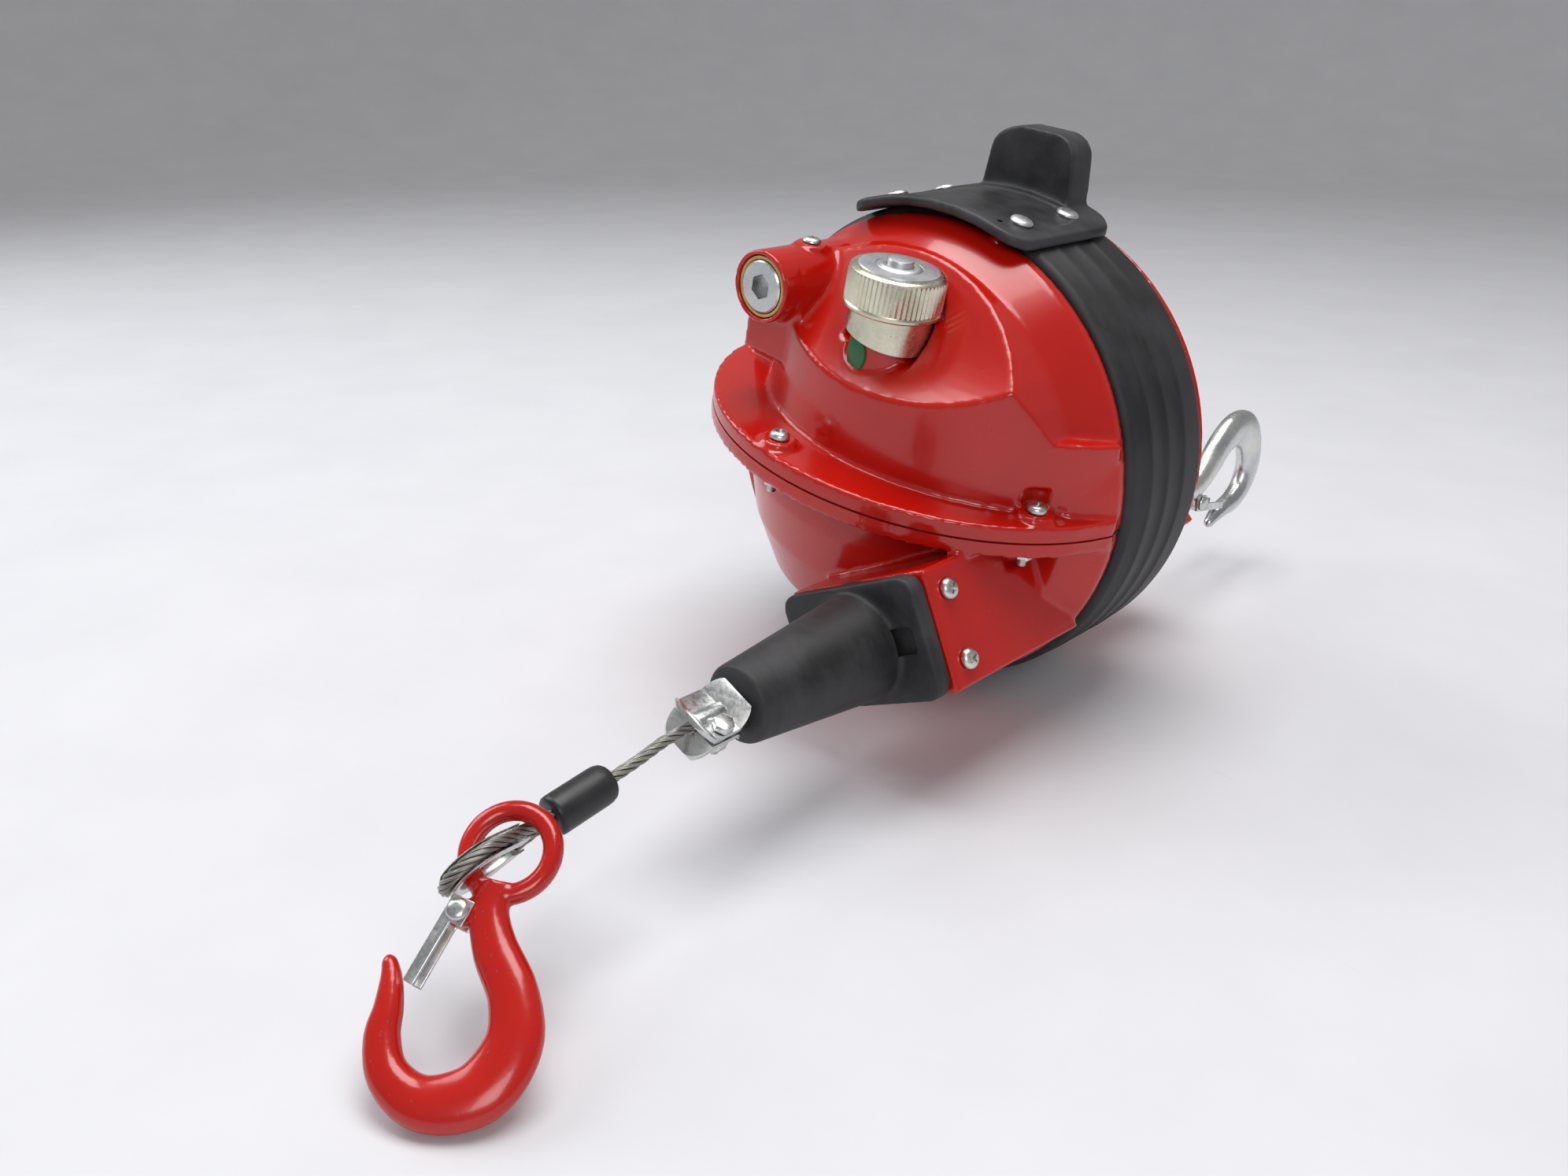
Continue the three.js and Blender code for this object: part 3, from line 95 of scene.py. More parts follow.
# %% [markdown]
# The camera comes first, because the rope's hidden length is judged from it. It looks down at the
# balancer from the load hook's side with a slightly wide lens.

# %% Camera


def added(name, data):
    made = bpy.data.objects.new(name, data)
    bpy.context.scene.collection.objects.link(made)
    return made


camera_data = bpy.data.cameras.new("camera")
camera_data.lens = 28.9
camera_data.sensor_width = 36
camera = added("camera", camera_data)
bpy.context.scene.camera = camera
camera.location = LYING @ Vector((384.7, -493.8, 315.3))
looking = Vector((-0.6411, 0.6554, -0.3993))
camera.rotation_euler = looking.to_track_quat("-Z", "Y").to_euler()
print("camera at", camera.location[:])

# %% [markdown]
# Shader maths reads best as ordinary expressions. `Value` wraps a socket so that `+`, `-` and `*`
# add Math nodes, and `Finish` makes any other node from its type, its settings and its inputs.

# %% Shader helpers


class Value:
    """A socket that can be used in an expression."""

    def __init__(self, finish, socket):
        self.finish = finish
        self.socket = socket

    def math(self, operation, *others):
        values = {i: v for i, v in enumerate((self,) + others)}
        return self.finish.node("ShaderNodeMath", {"operation": operation}, values)

    def __add__(self, other):
        return self.math("ADD", other)

    __radd__ = __add__

    def __mul__(self, other):
        return self.math("MULTIPLY", other)

    __rmul__ = __mul__

    def __sub__(self, other):
        return self.math("SUBTRACT", other)

    def __rsub__(self, other):
        return self.finish.node("ShaderNodeMath", {"operation": "SUBTRACT"}, {0: other, 1: self})


class Finish:
    """A material whose shader is one Principled BSDF."""

    def __init__(self, name, **constants):
        self.material = bpy.data.materials.new(name)
        self.material.use_nodes = True
        self.tree = self.material.node_tree
        self.shader = self.tree.nodes["Principled BSDF"]
        for socket, value in constants.items():
            self.shader.inputs[socket.replace("_", " ")].default_value = value

    def node(self, kind, settings=None, inputs=None, output=0):
        made = self.tree.nodes.new(kind)
        for key, value in (settings or {}).items():
            setattr(made, key, value)
        for key, value in (inputs or {}).items():
            self.feed(made.inputs[key], value)
        return Value(self, made.outputs[output])

    def feed(self, socket, value):
        if isinstance(value, Value):
            self.tree.links.new(value.socket, socket)
        else:
            socket.default_value = value

    def set(self, **inputs):
        for key, value in inputs.items():
            self.feed(self.shader.inputs[key.replace("_", " ")], value)

    def place(self, scale=(1, 1, 1), turned=(0, 0, 0)):
        coordinates = self.node("ShaderNodeTexCoord", output="Object")
        return self.node("ShaderNodeMapping", None,
                         {"Vector": coordinates, "Scale": scale, "Rotation": turned})

    def noise(self, scale, detail=3.0, vector=None, roughness=0.55):
        return self.node("ShaderNodeTexNoise", None, {
            "Vector": vector or self.place(), "Scale": scale, "Detail": detail,
            "Roughness": roughness})

    def between(self, value, low, high, to_low=0.0, to_high=1.0):
        return self.node("ShaderNodeMapRange", {"clamp": True}, {
            "Value": value, "From Min": low, "From Max": high, "To Min": to_low, "To Max": to_high})

    def blend(self, factor, first, second):
        """Mixes two colours, which are the Mix node's inputs 6 and 7."""
        return self.node("ShaderNodeMix", {"data_type": "RGBA"},
                         {0: factor, 6: first, 7: second}, output=2)

    def bump(self, height, distance, strength=1.0):
        normal = self.node("ShaderNodeBump", None, {
            "Height": height, "Distance": distance, "Strength": strength})
        self.set(Normal=normal)


def rgb(red, green, blue):
    return (red, green, blue, 1.0)


# %% [markdown]
# Red enamel over a casting is glossy but never perfectly even: it has a faint orange peel, it runs
# darker where it is thick, and it is nicked to grey along worn edges. `Pointiness` finds the edges,
# which also get a painted highlight: a lighter red along every sharp edge.

# %% Enamel


def enamel(name, chips=0.0):
    paint = Finish(name, IOR=1.5, Coat_Roughness=0.06)
    broad = paint.noise(14.0, 2.0)
    fine = paint.noise(900.0, 2.0)
    colour = paint.blend(paint.between(broad, 0.35, 0.65),
                         rgb(0.43, 0.0045, 0.0012), rgb(0.50, 0.007, 0.002))
    edge = paint.node("ShaderNodeNewGeometry", output="Pointiness")
    speckle = paint.noise(420.0, 4.0, roughness=0.7)
    edge_highlight_and_wear = paint.between(edge, 0.52, 0.60)
    # painted highlight: every sharp edge is lightened towards a brighter red
    colour = paint.blend(edge_highlight_and_wear * 0.25, colour, rgb(0.62, 0.03, 0.012))
    dots = paint.between(speckle, 0.735 - 0.07 * chips, 0.75 - 0.07 * chips)
    # the same edge mask also leans the worn chips towards the edges
    worn = paint.between(speckle + edge_highlight_and_wear * 0.12 * chips, 0.66, 0.68)
    colour = paint.blend(dots * 0.8, colour, rgb(0.12, 0.012, 0.008))
    colour = paint.blend(worn * chips * 0.8, colour, rgb(0.16, 0.07, 0.045))
    paint.set(Base_Color=colour,
              Roughness=paint.between(broad, 0.3, 0.7, 0.16, 0.27) + worn * chips * 0.35,
              Coat_Weight=paint.between(speckle, 0.3, 0.7, 0.30, 0.18))
    peel = paint.noise(330.0, 1.0)
    dents = paint.noise(110.0, 3.0)
    paint.bump(peel * 0.6 + fine * 0.15 + dents * 4.0 * chips, 0.00008, 0.4)
    return paint.material


case_enamel = enamel("case_enamel", 0.15)
hook_enamel = enamel("hook_enamel", 1.0)

# %% [markdown]
# Moulded rubber is dark and dull. Handling leaves pale dust on it in cloudy patches, and the mould
# leaves a fine grain that breaks up the light.

# %% Rubber


def rubber(name, dust=0.5, shine=0.0):
    made = Finish(name, IOR=1.45)
    cloud = made.noise(28.0, 5.0)
    grain = made.noise(1500.0, 3.0)
    streak = made.noise(60.0, 4.0, made.place((1, 6, 1)))
    grey = made.between(cloud * 0.85 + streak * 0.15, 0.42, 0.66, 0.0, dust)
    colour = made.blend(grey, rgb(0.010, 0.010, 0.011), rgb(0.060, 0.060, 0.064))
    fleck = made.between(grain, 0.3, 0.7) * 0.25
    made.set(Base_Color=made.blend(fleck, colour, rgb(0.03, 0.03, 0.032)),
             Roughness=made.between(cloud, 0.3, 0.7, 0.46 - shine, 0.66 - shine))
    made.bump(grain, 0.00015, 0.4)
    return made.material


belt_rubber = rubber("belt_rubber", 0.5)
closure_rubber = rubber("closure_rubber", 0.75, 0.08)
cone_rubber = rubber("cone_rubber", 0.7)
sleeve_rubber = rubber("sleeve_rubber", 0.3, 0.18)
gasket_sheet = rubber("gasket_sheet", 0.1)

# %% [markdown]
# Zinc plate is bright with soft cloudy patches, and passivation tints it faintly yellow. Machined
# and wound steel is greyer, with fine turning marks.

# %% Metals


def metal(name, dark, bright, tint, rough=(0.2, 0.42), grain=700.0, patch=60.0):
    made = Finish(name, Metallic=1.0)
    cloud = made.noise(patch, 4.0)
    fine = made.noise(grain, 3.0)
    spots = made.noise(patch * 5, 5.0, roughness=0.75)
    colour = made.blend(made.between(cloud, 0.3, 0.7), dark, bright)
    colour = made.blend(made.between(cloud * 0.5 + spots * 0.5, 0.5, 0.62) * 0.5, colour, tint)
    colour = made.blend(made.between(spots, 0.66, 0.72) * 0.5, colour, rgb(0.16, 0.14, 0.11))
    made.set(Base_Color=colour,
             Roughness=made.between(cloud * 0.5 + fine * 0.5, 0.35, 0.65, rough[0], rough[1]))
    made.bump(fine, 0.00005, 0.35)
    return made.material


zinc_plate = metal("zinc_plate", rgb(0.52, 0.54, 0.55), rgb(0.80, 0.81, 0.80),
                   rgb(0.66, 0.62, 0.48))
knob_plate = metal("knob_plate", rgb(0.50, 0.47, 0.36), rgb(0.82, 0.79, 0.66),
                   rgb(0.58, 0.60, 0.36))
satin_cap = metal("satin_cap", rgb(0.52, 0.53, 0.55), rgb(0.66, 0.67, 0.69),
                  rgb(0.6, 0.6, 0.58), (0.38, 0.5))
rivet_metal = metal("rivet_metal", rgb(0.62, 0.62, 0.63), rgb(0.76, 0.75, 0.76),
                    rgb(0.7, 0.66, 0.66), (0.3, 0.45))
machined_steel = metal("machined_steel", rgb(0.30, 0.31, 0.33), rgb(0.45, 0.46, 0.48),
                       rgb(0.35, 0.33, 0.3))
cast_alloy = metal("cast_alloy", rgb(0.42, 0.42, 0.43), rgb(0.55, 0.55, 0.56),
                   rgb(0.5, 0.49, 0.46), (0.4, 0.6))
bronze = metal("bronze", rgb(0.50, 0.34, 0.12), rgb(0.68, 0.50, 0.22),
               rgb(0.45, 0.27, 0.1), (0.25, 0.45))

# %% [markdown]
# The wires of a rope are too fine to model one by one. The strands are real shapes, and a stripe
# pattern that runs along each strand's own coordinates gives its wires: it bumps them, and paints
# each wire with a highlight on its crown and shade on its sides. Painted shade also darkens the
# grooves between strands.

# %% Wire, nylon and green paint


def wire_strand(name):
    made = Finish(name, Metallic=1.0)
    uv = made.node("ShaderNodeUVMap", {"uv_map": "strands"})
    split = made.node("ShaderNodeSeparateXYZ", None, {"Vector": uv})
    around = Value(made, split.socket.node.outputs[1])
    five_wires = 31.4
    wire_relief_and_shading = (around * five_wires + split * 9.0).math("SINE") * 0.5 + 0.5
    groove = around.math("FRACT")
    valley = (groove - 0.5).math("ABSOLUTE")
    dirt_and_shade_noise = made.noise(250.0, 4.0)
    # painted highlight and shade: each wire is bright on its crown and dark on its sides
    colour = made.blend(wire_relief_and_shading, rgb(0.17, 0.16, 0.145), rgb(0.62, 0.60, 0.55))
    # painted shade: the grooves between strands go near black, and noise breaks up the shade's edge
    dark = made.between(valley + dirt_and_shade_noise * 0.15, 0.42, 0.56)
    made.set(Base_Color=made.blend(dark, colour, rgb(0.035, 0.03, 0.026)),
             Roughness=made.between(dirt_and_shade_noise, 0.3, 0.7, 0.28, 0.5))
    made.bump(wire_relief_and_shading, 0.00022, 0.9)
    return made.material


wire = wire_strand("wire")

nylon = Finish("nylon", Roughness=0.5)
nylon.set(Base_Color=nylon.blend(nylon.noise(80.0), rgb(0.55, 0.52, 0.42), rgb(0.7, 0.67, 0.58)))
nylon.bump(nylon.noise(900.0), 0.0001, 0.3)

green = Finish("green_paint", Roughness=0.32)
green.set(Base_Color=green.blend(green.noise(200.0),
                                 rgb(0.004, 0.085, 0.022), rgb(0.008, 0.13, 0.035)))
green.bump(green.noise(700.0), 0.0001, 0.4)
print("materials:", len(bpy.data.materials))

# %% [markdown]
# Most hardware is turned on a lathe, so most pieces start as a profile of radius and height. The
# other helpers cut, soften and settle a mesh, then hand it to the frame.

# %% Mesh helpers


def piece(name, verts, faces, at):
    mesh = bpy.data.meshes.new(name)
    mesh.from_pydata([at @ Vector(v) for v in verts], [], faces)
    made = added(name, mesh)
    heal(made)
    return made


def heal(made, distance=0.00001):
    """Merges points closer than the distance, and turns the normals outwards."""
    work = bmesh.new()
    work.from_mesh(made.data)
    if distance:
        bmesh.ops.remove_doubles(work, verts=work.verts, dist=distance)
    bmesh.ops.recalc_face_normals(work, faces=work.faces)
    work.to_mesh(made.data)
    work.free()


def lathe(name, profile, at, segments=64):
    """Turns a profile of radius and height. One that starts off the axis closes on itself."""
    count = len(profile)
    closed = profile[0][0] > 0
    verts = [(r * math.cos(2 * math.pi * i / segments), r * math.sin(2 * math.pi * i / segments), z)
             for i in range(segments) for r, z in profile]
    faces = []
    for i in range(segments):
        a, b = i * count, ((i + 1) % segments) * count
        for j in range(count if closed else count - 1):
            k = (j + 1) % count
            faces.append((a + j, b + j, b + k, a + k))
    return piece(name, verts, faces, at)


def skin_faces(rings, around):
    """Quads between closed rings of points that follow one another."""
    return [(i * around + j, i * around + (j + 1) % around,
             (i + 1) * around + (j + 1) % around, (i + 1) * around + j)
            for i in range(rings - 1) for j in range(around)]


def block(name, x, y, z, at):
    verts = [(i, j, k) for i in x for j in y for k in z]
    faces = [(0, 1, 3, 2), (4, 6, 7, 5), (0, 4, 5, 1), (2, 3, 7, 6), (0, 2, 6, 4), (1, 5, 7, 3)]
    return piece(name, verts, faces, at)


def settled(made):
    graph = bpy.context.evaluated_depsgraph_get()
    mesh = bpy.data.meshes.new_from_object(made.evaluated_get(graph))
    made.modifiers.clear()
    made.data = mesh
    return made


def combined(made, tools, operation="DIFFERENCE"):
    for tool in tools:
        cut = made.modifiers.new("cut", "BOOLEAN")
        cut.operation = operation
        cut.object = tool
        cut.solver = "EXACT"
    settled(made)
    for tool in tools:
        bpy.data.objects.remove(tool)
    return made


def softened(made, width, segments=2, degrees=32):
    edge = made.modifiers.new("edge", "BEVEL")
    edge.width = width * MM
    edge.segments = segments
    edge.limit_method = "ANGLE"
    edge.angle_limit = math.radians(degrees)
    return settled(made)


def copy_of(node, name):
    made = added(name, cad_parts[node].data.copy())
    heal(made)
    return made


def finished(made, material, body, slot, *nodes, degrees=35):
    """Paints and shades a piece, hangs it on its body and hides the CAD nodes it replaces. The slot
    is not used.
    """
    made.data.materials.clear()
    made.data.materials.append(material)
    made.data.polygons.foreach_set("use_smooth", [True] * len(made.data.polygons))
    made.data.set_sharp_from_angle(angle=math.radians(degrees))
    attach(made, body)
    if nodes:
        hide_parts(*nodes)
    print(made.name, "faces:", len(made.data.polygons))
    return made


# %% [markdown]
# ## The rope
# Six strands are laid round a core, so the rope's cross-section is a six-lobed outline that turns
# as it goes. Sweeping that outline along the route gives the strands, and one closed skin.

# %% Lines


def smooth_line(points, step):
    """Centripetal Catmull-Rom through the points, sampled about every step."""
    points = [Vector(p) for p in points]
    points = [2 * points[0] - points[1]] + points + [2 * points[-1] - points[-2]]
    line = []
    for a, b, c, d in zip(points, points[1:], points[2:], points[3:]):
        times = [0.0]
        for p, q in ((a, b), (b, c), (c, d)):
            times.append(times[-1] + (q - p).length ** 0.5)
        count = max(1, round((c - b).length / step))
        line += [catmull((a, b, c, d), times, times[1] + (times[2] - times[1]) * k / count)
                 for k in range(count)]
    return line + [points[-2]]


def catmull(points, times, t):
    level = list(points)
    for order in (1, 2):
        level = [(level[i] * (times[i + order] - t) + level[i + 1] * (t - times[i]))
                 / (times[i + order] - times[i]) for i in range(len(level) - 1)]
    return (level[0] * (times[2] - t) + level[1] * (t - times[1])) / (times[2] - times[1])


def frames_along(line, start):
    """Gives each point with two directions across the line, which don't spin along it."""
    side = Vector(start)
    frames = []
    for i, point in enumerate(line):
        ahead = (line[min(i + 1, len(line) - 1)] - line[max(i - 1, 0)]).normalized()
        side = (side - ahead * side.dot(ahead)).normalized()
        frames.append((point, side.copy(), ahead.cross(side)))
    return frames


# %% [markdown]
# A lobe's outline comes from a circle set off from the rope's centre. Each strand gets its own
# stripe of the map called strands, so that its wires can follow it round the rope.

# %% Stranded rope


STRANDS = 6
PER_STRAND = 6


def lobe(turned, radius):
    centre = 0.64 * radius
    bar = 0.36 * radius
    angle = ((turned * STRANDS / (2 * math.pi)) % 1 - 0.5) * 2 * math.pi / STRANDS
    return centre * math.cos(angle) + math.sqrt(max(bar ** 2 - (centre * math.sin(angle)) ** 2, 0))


def stranded(name, points, at, start, pitch=30.0, step=0.9):
    """Sweeps the stranded outline along a route. Returns the rope, its line and its length."""
    line = smooth_line(points, step)
    around = STRANDS * PER_STRAND
    verts, travelled = [], [0.0]
    for i, (point, side, up) in enumerate(frames_along(line, start)):
        if i:
            travelled.append(travelled[-1] + (line[i] - line[i - 1]).length)
        twist = 2 * math.pi * travelled[-1] / pitch
        for j in range(around):
            angle = 2 * math.pi * j / around
            reach = lobe(angle, ROPE_RADIUS)
            verts.append(point + side * reach * math.cos(angle + twist)
                         + up * reach * math.sin(angle + twist))
    faces = [tuple(reversed(range(around))), tuple(range(len(verts) - around, len(verts)))]
    uvs = [(0.0, 0.0)] * (2 * around)
    for i in range(len(line) - 1):
        for j in range(around):
            k = (j + 1) % around
            a, b = i * around, (i + 1) * around
            faces.append((a + j, b + j, b + k, a + k))
            uvs += [(travelled[m] / pitch, n / PER_STRAND)
                    for m, n in ((i, j), (i + 1, j), (i + 1, j + 1), (i, j + 1))]
    mesh = bpy.data.meshes.new(name)
    mesh.from_pydata([at @ v for v in verts], [], faces)
    layer = mesh.uv_layers.new(name="strands")
    layer.data.foreach_set("uv", [number for pair in uvs for number in pair])
    made = added(name, mesh)
    heal(made, None)
    return made, [at @ p for p in line], travelled[-1] * MM


rope_route = [(54.6, -11, 66.3), (54.6, -110, 66.3), (54.6, -205, 66.3), (54.65, -222, 65.6),
              (54.8, -236, 62.9), (54.9, -250, 60.6), (55.1, -260.2, 59.3), (55.2, -268.1, 58.3)]
rope, rope_centre, rope_length = stranded("stranded_rope", rope_route, LYING, (1, 0, 0))
finished(rope, wire, "rope_end", "wire_strand", "rope", degrees=80)
print("rope length in metres:", round(rope_length, 4))

# %% [markdown]
# The rope's tail turns round the thimble and goes back into the sleeve beside itself. The same
# stranded sweep follows the teardrop.

# %% Rope eye
THIMBLE_RADIUS = 9
LOOP = THIMBLE_RADIUS + 1.5 + ROPE_RADIUS + 0.3
THIMBLE_CENTRE = -26
half_route = [(2.63, 13, 0), (2.63, 4.5, 0), (4, -2.4, 0)]
bend = [(LOOP * math.cos(math.radians(25 - i * 230 / 12)),
         THIMBLE_CENTRE + LOOP * math.sin(math.radians(25 - i * 230 / 12)), 0)
        for i in range(13)]
eye_route = half_route + bend + [(-x, y, z) for x, y, z in reversed(half_route)]
rope_eye, _, eye_length = stranded("stranded_eye", eye_route, ROPE_END, (0, 0, 1), pitch=26.0)
finished(rope_eye, wire, "rope_end", "wire_strand", "rope_eye", degrees=80)
print("eye length in metres:", round(eye_length, 4))

# %% [markdown]
# ## Thimble, sleeve and stopper
# A thimble is a strip of zinc plate pressed into a channel and bent to a teardrop. Its section is
# swept round the drop, always facing outwards, so the curled lips guard the rope.

# %% Thimble


def teardrop(radius, steps=40, point=25):
    tip = (0, THIMBLE_CENTRE + radius / math.sin(math.radians(point)))
    arc = [(radius * math.cos(math.radians(a)),
            THIMBLE_CENTRE + radius * math.sin(math.radians(a)))
           for a in [180 - point + i * (180 + 2 * point) / steps for i in range(steps + 1)]]
    straight = [(tip[0] + (arc[0][0] - tip[0]) * t, tip[1] + (arc[0][1] - tip[1]) * t)
                for t in (0.25, 0.45, 0.65, 0.85)]
    other = [(-x, y) for x, y in reversed(straight)]
    return straight + arc + other


upper_half = [(0.0, 3.0), (0.35, 3.45), (1.2, 3.68), (2.6, 3.68), (3.6, 3.55), (3.95, 3.2),
              (3.6, 2.9), (2.6, 2.75), (1.9, 2.5), (1.5, 1.8)]
lower_half = [(out, -z) for out, z in reversed(upper_half)]
section = [lower_half[-1]] + upper_half + lower_half[:-1]
LIP = 5
drops = [teardrop(THIMBLE_RADIUS + 0.05 + out) for out, _ in section]
verts, count = [], len(section)
stations = [i for i in range(len(drops[0])) if drops[-LIP][i][1] < -2.2]
for i in stations:
    verts += [(drop[i][0], min(drop[i][1], -1.0), z) for drop, (_, z) in zip(drops, section)]
faces = [tuple(range(count)), tuple(reversed(range(len(verts) - count, len(verts))))]
faces += skin_faces(len(stations), count)
thimble = piece("channel_thimble", verts, faces, ROPE_END)
finished(thimble, zinc_plate, "rope_end", "zinc_plate", "thimble", degrees=50)

# %% [markdown]
# The sleeve is a moulded cover over the rope's ferrule, so it is turned with rounded ends. It runs
# along its own axis, which is the rope's.

# %% Sleeve
END_AXIS = ROPE_END @ turn(-90, "X")
sleeve_profile = [(0, 6), (5.6, 6), (7.1, 6.3), (7.85, 7.2), (8, 8.6), (8, 28), (7.9, 30),
                  (7.3, 32), (6.2, 33.2), (4.6, 33.9), (3.2, 34), (0, 34)]
sleeve = lathe("moulded_sleeve", sleeve_profile, END_AXIS, 48)
finished(sleeve, sleeve_rubber, "rope_end", "black_rubber", "rope_sleeve", degrees=60)

# %% [markdown]
# The stopper's two plates are bent sheet, and their CAD shape is right. Copies with softened edges
# catch the light along each edge as real sheet does.

# %% Stopper
stopper = [finished(softened(copy_of(node, node + "_soft"), 0.35), zinc_plate, "rope_end",
                    "zinc_plate", node)
           for node in ("stopper_plate_1", "stopper_plate_2", "stopper_bolt", "stopper_nut")]

# %% [markdown]
# ## Forged hooks
# A forged hook is an oval bar that swells at the bowl and thins towards the tip. The bar, the eye
# and the latch ear are laid over one another, and a fine voxel remesh welds them and leaves the
# soft fillets that forging leaves.

# %% Forging helpers
HOOK_STATIONS = [(-1, -11, 6.5, 5), (0, -21, 7, 5.4), (6, -32, 8, 5.8), (18, -46, 8.6, 6),
                 (23, -60, 9.8, 6), (17.3, -76, 10.6, 6), (0.5, -83.3, 9.8, 6),
                 (-13.5, -78, 8.3, 5.8), (-20, -67.5, 6.9, 5.4), (-21.5, -58.5, 6, 5),
                 (-24.5, -49, 4.4, 4.2), (-28.5, -42, 2.2, 2.4)]


def bar_mesh(name, at, sides=28, step=1.2):
    """Sweeps an oval through the stations: x, z, half the width, half the thickness."""
    line = smooth_line([(x, 0, z) for x, z, _, _ in HOOK_STATIONS], step)
    sizes = smooth_line([(i * 14.0, w, t) for i, (_, _, w, t) in enumerate(HOOK_STATIONS)], 1.0)
    verts = []
    for i, (point, side, up) in enumerate(frames_along(line, (1, 0, 0))):
        size = sizes[round(i * (len(sizes) - 1) / (len(line) - 1))]
        left = len(line) - 1 - i
        nose = math.sqrt(1 - (1 - left / 3) ** 2) if left < 3 else 1.0
        for j in range(sides):
            angle = 2 * math.pi * j / sides
            verts.append(point + side * size.y * nose * math.cos(angle)
                         + up * size.z * nose * math.sin(angle))
    return piece(name, verts, [tuple(range(sides))] + skin_faces(len(line), sides), at)


def relaxed(made, passes, strength=0.5):
    work = bmesh.new()
    work.from_mesh(made.data)
    for _ in range(passes):
        bmesh.ops.smooth_vert(work, verts=work.verts, factor=strength, use_axis_x=True,
                              use_axis_y=True, use_axis_z=True)
    bmesh.ops.recalc_face_normals(work, faces=work.faces)
    work.to_mesh(made.data)
    work.free()
    return made


def welded(made, others, voxel, passes):
    if others:
        chosen = [made] + others
        with bpy.context.temp_override(active_object=made, selected_editable_objects=chosen):
            bpy.ops.object.join()
    remesh = made.modifiers.new("weld", "REMESH")
    remesh.mode = "VOXEL"
    remesh.voxel_size = voxel * MM
    return relaxed(settled(made), passes)


# %% [markdown]
# The load hook has a round eye, and the suspension hook a straight shank that turns in the case.
# Both have the same blade, the second one 15 percent longer.

# %% Both hooks


def ring_profile(centre, bar, sides=20):
    turns = [2 * math.pi * i / sides for i in range(sides)]
    return [(centre + bar * math.cos(a), bar * math.sin(a)) for a in turns]


FACE_ON = turn(90, "X")
PIVOT = shift(-9, 0, -24)
ear = [(0, -3), (4.4, -3), (5, -2.4), (5, 2.4), (4.4, 3), (0, 3)]

load_hook = bar_mesh("forged_load_hook", LOAD_HOOK)
eye_ring = lathe("eye_ring", ring_profile(15, 3.75), LOAD_HOOK @ FACE_ON, 96)
hook_ear = lathe("hook_ear", ear, LOAD_HOOK @ PIVOT @ FACE_ON, 32)
eye_room = [(0, -20), (11.2, -20), (11.2, 20), (0, 20)]
combined(load_hook, [lathe("eye_room", eye_room, LOAD_HOOK @ FACE_ON, 64)])
welded(load_hook, [eye_ring, hook_ear], 0.75, 5)
finished(load_hook, hook_enamel, "load_hook_set", "red_enamel", "load_hook", degrees=70)

LONG = SUSPENSION @ Matrix.Scale(1.15, 4)
suspension_hook = bar_mesh("forged_suspension_hook", LONG)
shank_profile = [(0, -16), (6.3, -16), (6.5, -15), (6.5, 54.5), (6, 55.3), (0, 55.3)]
shank = lathe("hook_shank", shank_profile, LONG, 40)
long_ear = lathe("long_ear", ear, LONG @ PIVOT @ FACE_ON, 32)
welded(suspension_hook, [shank, long_ear], 0.9, 4)
finished(suspension_hook, zinc_plate, "suspension_set", "zinc_plate", "suspension_hook", degrees=70)

# %% [markdown]
# Each latch is a strip of sheet folded over the ear, held by a rivet with one domed head. The
# folded strip keeps its CAD shape with softened edges, and the rivet is turned.

# %% Latches and rivets
for latch in ("load_latch", "suspension_latch"):
    finished(softened(copy_of(latch, latch + "_soft"), 0.4, 3), zinc_plate, latch, "zinc_plate",
             latch)

dome = [(0, 7.2), (1.6, 7.05), (2.8, 6.5), (3.7, 5.7), (4, 5.0), (3.8, 4.8), (2, 4.8),
        (2, -4.8), (3.6, -4.8), (4, -5.3), (3.4, -6.4), (1.8, -6.8), (0, -6.8)]
for name, at, body in (("load_latch_rivet", LOAD_HOOK, "load_hook_set"),
                       ("suspension_latch_rivet", LONG, "suspension_set")):
    made = lathe(name + "_turned", [(r, -z) for r, z in dome], at @ PIVOT @ FACE_ON, 40)
    finished(made, zinc_plate, body, "zinc_plate", name, degrees=50)

# %% [markdown]
# ## The castings
# Each case half is a casting, with soft fillets wherever its faces meet. A copy of the CAD half is
# remeshed finely, its many-sided turned surfaces are pushed out to true circles, and then it is
# relaxed, which rounds every edge a little.

# %% True circles
FLANGE_CENTRE = 15


def rounded_out(across, up, sides, low, high, allowed):
    """Moves points of a many-sided cylinder, between two radii, out to its corners' circle."""
    radius = np.hypot(across, up)
    slice_angle = 2 * math.pi / sides
    offset = np.mod(np.arctan2(across, up), slice_angle) - slice_angle / 2
    gain = np.cos(offset) / math.cos(slice_angle / 2)
    near = allowed & (radius > low) & (radius < high)
    gain = np.where(near, gain, 1.0)
    return across * gain, up * gain


